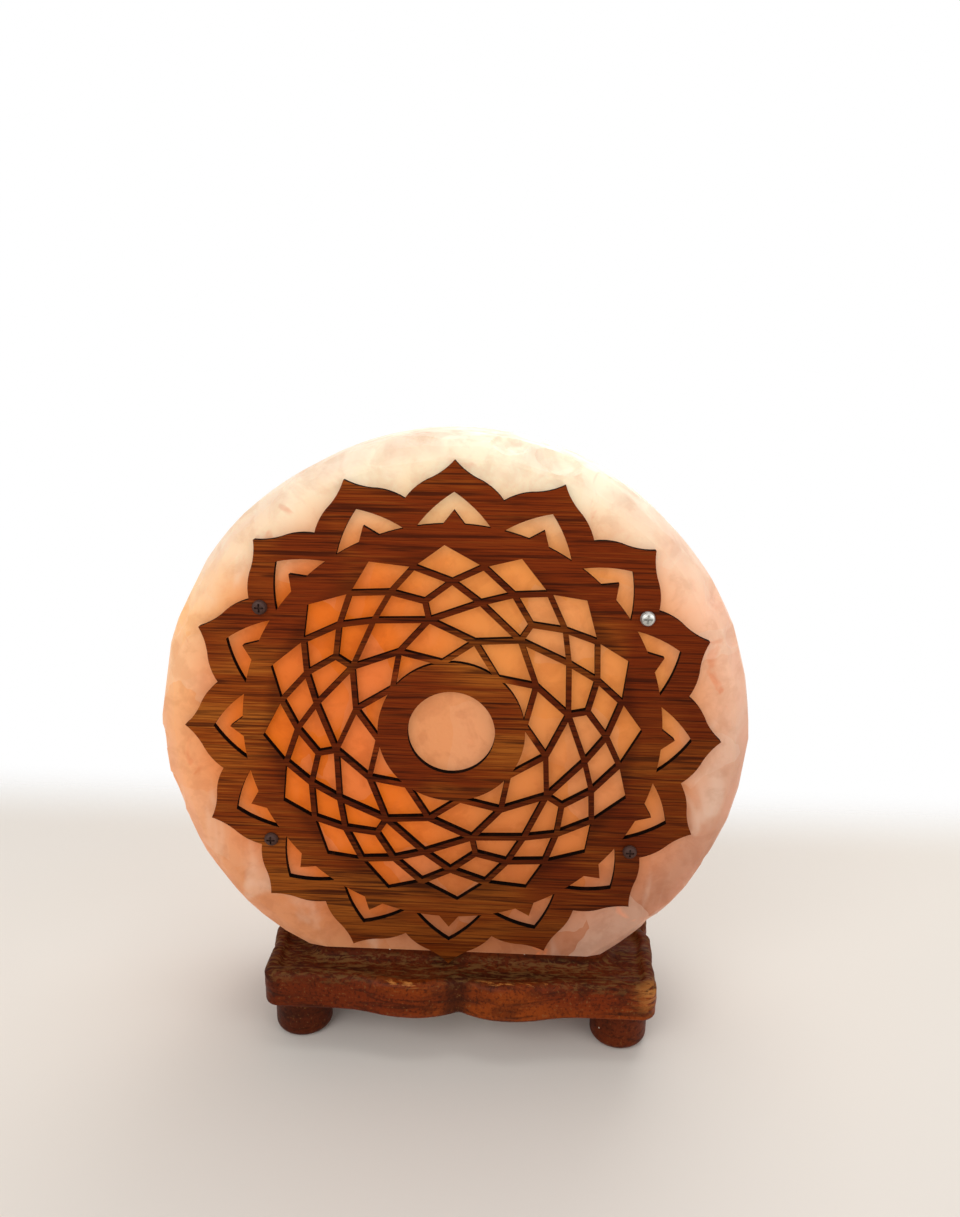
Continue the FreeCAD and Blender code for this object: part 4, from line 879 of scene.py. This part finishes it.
@dataclass
class CarvedBase:
    """The carved board, its turned feet and the screws that hold the lamp together."""

    board: VarnishedWood = VarnishedWood("board_varnish")
    # The feet get a darker copy of the board's varnish: painted shade under the board.
    feet: VarnishedWood = VarnishedWood("shaded_foot_varnish", body=srgb(86, 33, 12),
                                        light=srgb(98, 38, 12), hollow_shade=0.0, notch_shade=0.0)
    underside: float = 0.0208
    seat: float = 0.0396
    bore_reach: float = 0.031
    grain_size: float = 0.0010
    softening: int = 9

    def build(self) -> None:
        """Carve the board and dress the base."""
        self._carve()
        dress_nodes(self.feet.make(), "foot_front_left", "foot_front_right", "foot_rear_left",
                    "foot_rear_right")
        zinc = PlatedSteel("zinc_steel")
        dress_nodes(zinc.make(), "foot_screws", "disc_screws", "disc_screw_washers")

    def _carve(self) -> None:
        """Work the true board over by hand: soft edges, gouge marks and an uneven lip."""
        deselect()
        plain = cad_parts["base_board"]
        piece = plain.copy()
        piece.data = plain.data.copy()
        piece.name = "carved_board"
        bpy.context.scene.collection.objects.link(piece)
        activate(piece)
        bpy.ops.object.mode_set(mode="EDIT")
        bpy.ops.mesh.select_all(action="SELECT")
        bpy.ops.mesh.remove_doubles(threshold=0.000002)
        bpy.ops.object.mode_set(mode="OBJECT")
        apply_modifier(piece, "REMESH", mode="VOXEL", voxel_size=self.grain_size)
        touched = piece.vertex_groups.new(name="touched")
        for vertex in piece.data.vertices:
            touched.add([vertex.index], self._freedom(vertex.co), "REPLACE")
        apply_modifier(piece, "SMOOTH", factor=0.5, iterations=self.softening,
                       vertex_group="touched")
        for name, size, deep, stretch in (("billow", 0.022, 0.0016, (1.6, 1.0, 1.0)),
                                          ("gouge", 0.0055, 0.0011, (3.2, 1.0, 0.8)),
                                          ("scratch", 0.0020, 0.00035, (4.0, 1.0, 0.6))):
            self._dent(piece, name, size, deep, stretch)
        activate(piece)
        bpy.ops.object.shade_smooth()
        dress(piece, self.board.make())
        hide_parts("base_board")
        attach(piece, Body.LAMP.value)
        LOG.info("carved board: %d faces", len(piece.data.polygons))

    def _freedom(self, place: Vector) -> float:
        """Say how far a point of the board may be worked.

        Args:
            place: The point.

        Returns:
            0 under the board, on its seat and round its bore, and 1 elsewhere.
        """
        if math.hypot(place.x - BORE_CENTRE, place.y) < self.bore_reach:
            return 0.0
        from_below = (place.z - self.underside) / 0.003
        from_seat = (self.seat - place.z) / 0.002
        return max(0.0, min(1.0, from_below, from_seat))

    def _dent(self, piece: bpy.types.Object, name: str, size: float, deep: float,
              stretch: Point) -> None:
        """Dent the board with long soft marks.

        Args:
            piece: The board.
            name: The marks' name.
            size: The width of a mark.
            deep: How deep the marks go.
            stretch: How much longer they are along each axis.
        """
        marks = bpy.data.textures.new(name, "CLOUDS")
        marks.noise_scale = size
        marks.noise_depth = 1
        guide = bpy.data.objects.new(name, None)
        guide.scale = stretch
        guide.location = (0.31, 0.17, 0.05)
        bpy.context.scene.collection.objects.link(guide)
        bpy.context.view_layer.update()
        apply_modifier(piece, "DISPLACE", texture=marks, texture_coords="OBJECT",
                       texture_coords_object=guide, strength=deep, mid_level=0.55,
                       vertex_group="touched")
        bpy.data.objects.remove(guide)
        bpy.data.textures.remove(marks)


@dataclass
class LampHolder:
    """The sprung lampholder under the board."""

    plastic: MouldedPlastic = MouldedPlastic("holder_plastic", srgb(236, 233, 222),
                                             srgb(222, 217, 202))
    bush: MouldedPlastic = MouldedPlastic("bush_plastic", srgb(34, 33, 33), srgb(22, 21, 21),
                                          0.5)
    brass: SpunMetal = SpunMetal("contact_brass", srgb(214, 174, 98), srgb(168, 126, 66))

    def build(self) -> None:
        """Dress the lampholder."""
        dress_nodes(self.plastic.make(), "holder_body", "holder_cap")
        dress_nodes(self.bush.make(), "cord_inlet_bush")
        dress_nodes(FiredCeramic().make(), "holder_insert")
        dress_nodes(self.brass.make(), "screw_shell", "centre_contact", "terminal_screws")
        dress_nodes(PlatedSteel("spring_steel", rough=0.18).make(), "holder_plate")


@dataclass
class Bulb:
    """The small tubular bulb."""

    aluminium: SpunMetal = SpunMetal("cap_aluminium", srgb(214, 214, 216), srgb(186, 186, 190))

    def build(self) -> None:
        """Dress the bulb."""
        dress_nodes(ClearGlass().make(), "bulb_glass", "bulb_stem")
        dress_nodes(self.aluminium.make(), "bulb_cap", "bulb_tip")
        dress_nodes(BlackGlass().make(), "bulb_insulator")
        dress_nodes(PlatedSteel("lead_nickel").make(), "lead_wires")
        dress_nodes(HotWire().make(), "filament")


@dataclass(frozen=True)
class SoftLamp:
    """A square lamp: its name, place, side and power."""

    name: str
    place: Point
    side: float
    power: float


@dataclass
class Studio:
    """A pale floor, a white surround, soft lamps and the camera."""

    camera_place: Point = (0.02071, -0.38345, 0.28334)
    camera_turn: Point = (72.093, -1.225, 2.013)
    lens: float = 28.263
    shift: float = 0.0489
    floor_colour: Colour = srgb(238, 230, 220)
    floor_cloud: Colour = (0.86, 0.82, 0.77)
    ambient: float = 0.42
    aim: Point = (0.0, 0.0, 0.13)
    lamps: tuple[SoftLamp, ...] = (
        SoftLamp("key", (-0.75, -1.35, 1.15), 1.1, 10.5),
        SoftLamp("fill", (1.10, -1.00, 0.70), 1.0, 4.6),
        SoftLamp("top", (0.10, 0.25, 1.45), 0.9, 5.2),
        SoftLamp("rear", (0.35, 1.30, 0.80), 1.0, 6.0))

    def build(self) -> None:
        """Set the stage."""
        self._camera()
        self._floor()
        self._surround()
        for lamp in self.lamps:
            self._hang(lamp)
        bpy.context.scene.view_settings.view_transform = "Standard"

    def _camera(self) -> None:
        """Stand the camera where the photograph was taken from."""
        data = bpy.data.cameras.new("camera")
        data.lens = self.lens
        data.sensor_width = 36.0
        data.shift_y = self.shift
        data.clip_start = 0.01
        camera = bpy.data.objects.new("camera", data)
        camera.location = self.camera_place
        camera.rotation_euler = tuple(math.radians(angle) for angle in self.camera_turn)
        bpy.context.scene.collection.objects.link(camera)
        bpy.context.scene.camera = camera

    def _floor(self) -> None:
        """Lay a floor that melts into the white surround."""
        deselect()
        bpy.ops.mesh.primitive_plane_add(size=8.0, location=(0, 0, 0))
        floor = bpy.context.object
        floor.name = "floor"
        shader = Shader("pale_floor")
        cloud = shader.noise(3.0, 2)
        colour = shader.blend(self.floor_colour, self.floor_cloud, cloud.above(0.4, 0.7) * 0.3)
        shader.finish(base_color=colour, roughness=0.75)
        away = shader.split(shader.place)[1].above(0.14, 0.24)
        clear = shader.node("ShaderNodeBsdfTransparent")
        mixed = shader.node("ShaderNodeMixShader", None,
                            {0: away, 1: shader.surface.outputs[0], 2: clear.outputs[0]})
        shader.feed(shader.tree.nodes["Material Output"].inputs["Surface"], mixed.outputs[0])
        dress(floor, shader.material)

    def _surround(self) -> None:
        """Surround the lamp with white that lights it only a little."""
        world = bpy.data.worlds.new("surround")
        world.use_nodes = True
        bpy.context.scene.world = world
        graph = NodeGraph(world.node_tree)
        ray = graph.node("ShaderNodeLightPath")
        seen, glossy, through = (Value(graph, ray.outputs[f"Is {kind} Ray"])
                                 for kind in ("Camera", "Glossy", "Transmission"))
        shown = graph.math("MAXIMUM", seen, graph.math("MAXIMUM", glossy, through))
        background = graph.tree.nodes["Background"]
        graph.feed(background.inputs["Color"], WHITE)
        graph.feed(background.inputs["Strength"], shown * (1 - self.ambient) + self.ambient)

    def _hang(self, lamp: SoftLamp) -> None:
        """Hang a soft lamp that points at the middle of the salt."""
        data = bpy.data.lights.new(lamp.name, "AREA")
        data.size = lamp.side
        data.energy = lamp.power
        hung = bpy.data.objects.new(lamp.name, data)
        hung.location = lamp.place
        way = Vector(self.aim) - Vector(lamp.place)
        hung.rotation_euler = way.to_track_quat("-Z", "Y").to_euler()
        bpy.context.scene.collection.objects.link(hung)


def main() -> None:
    """Build the scene."""
    logging.basicConfig(level=logging.INFO, format="%(name)s: %(message)s")
    Studio().build()
    SaltDisc().build()
    MandalaPanel().build()
    CarvedBase().build()
    LampHolder().build()
    Bulb().build()


if __name__ == "__main__":
    main()
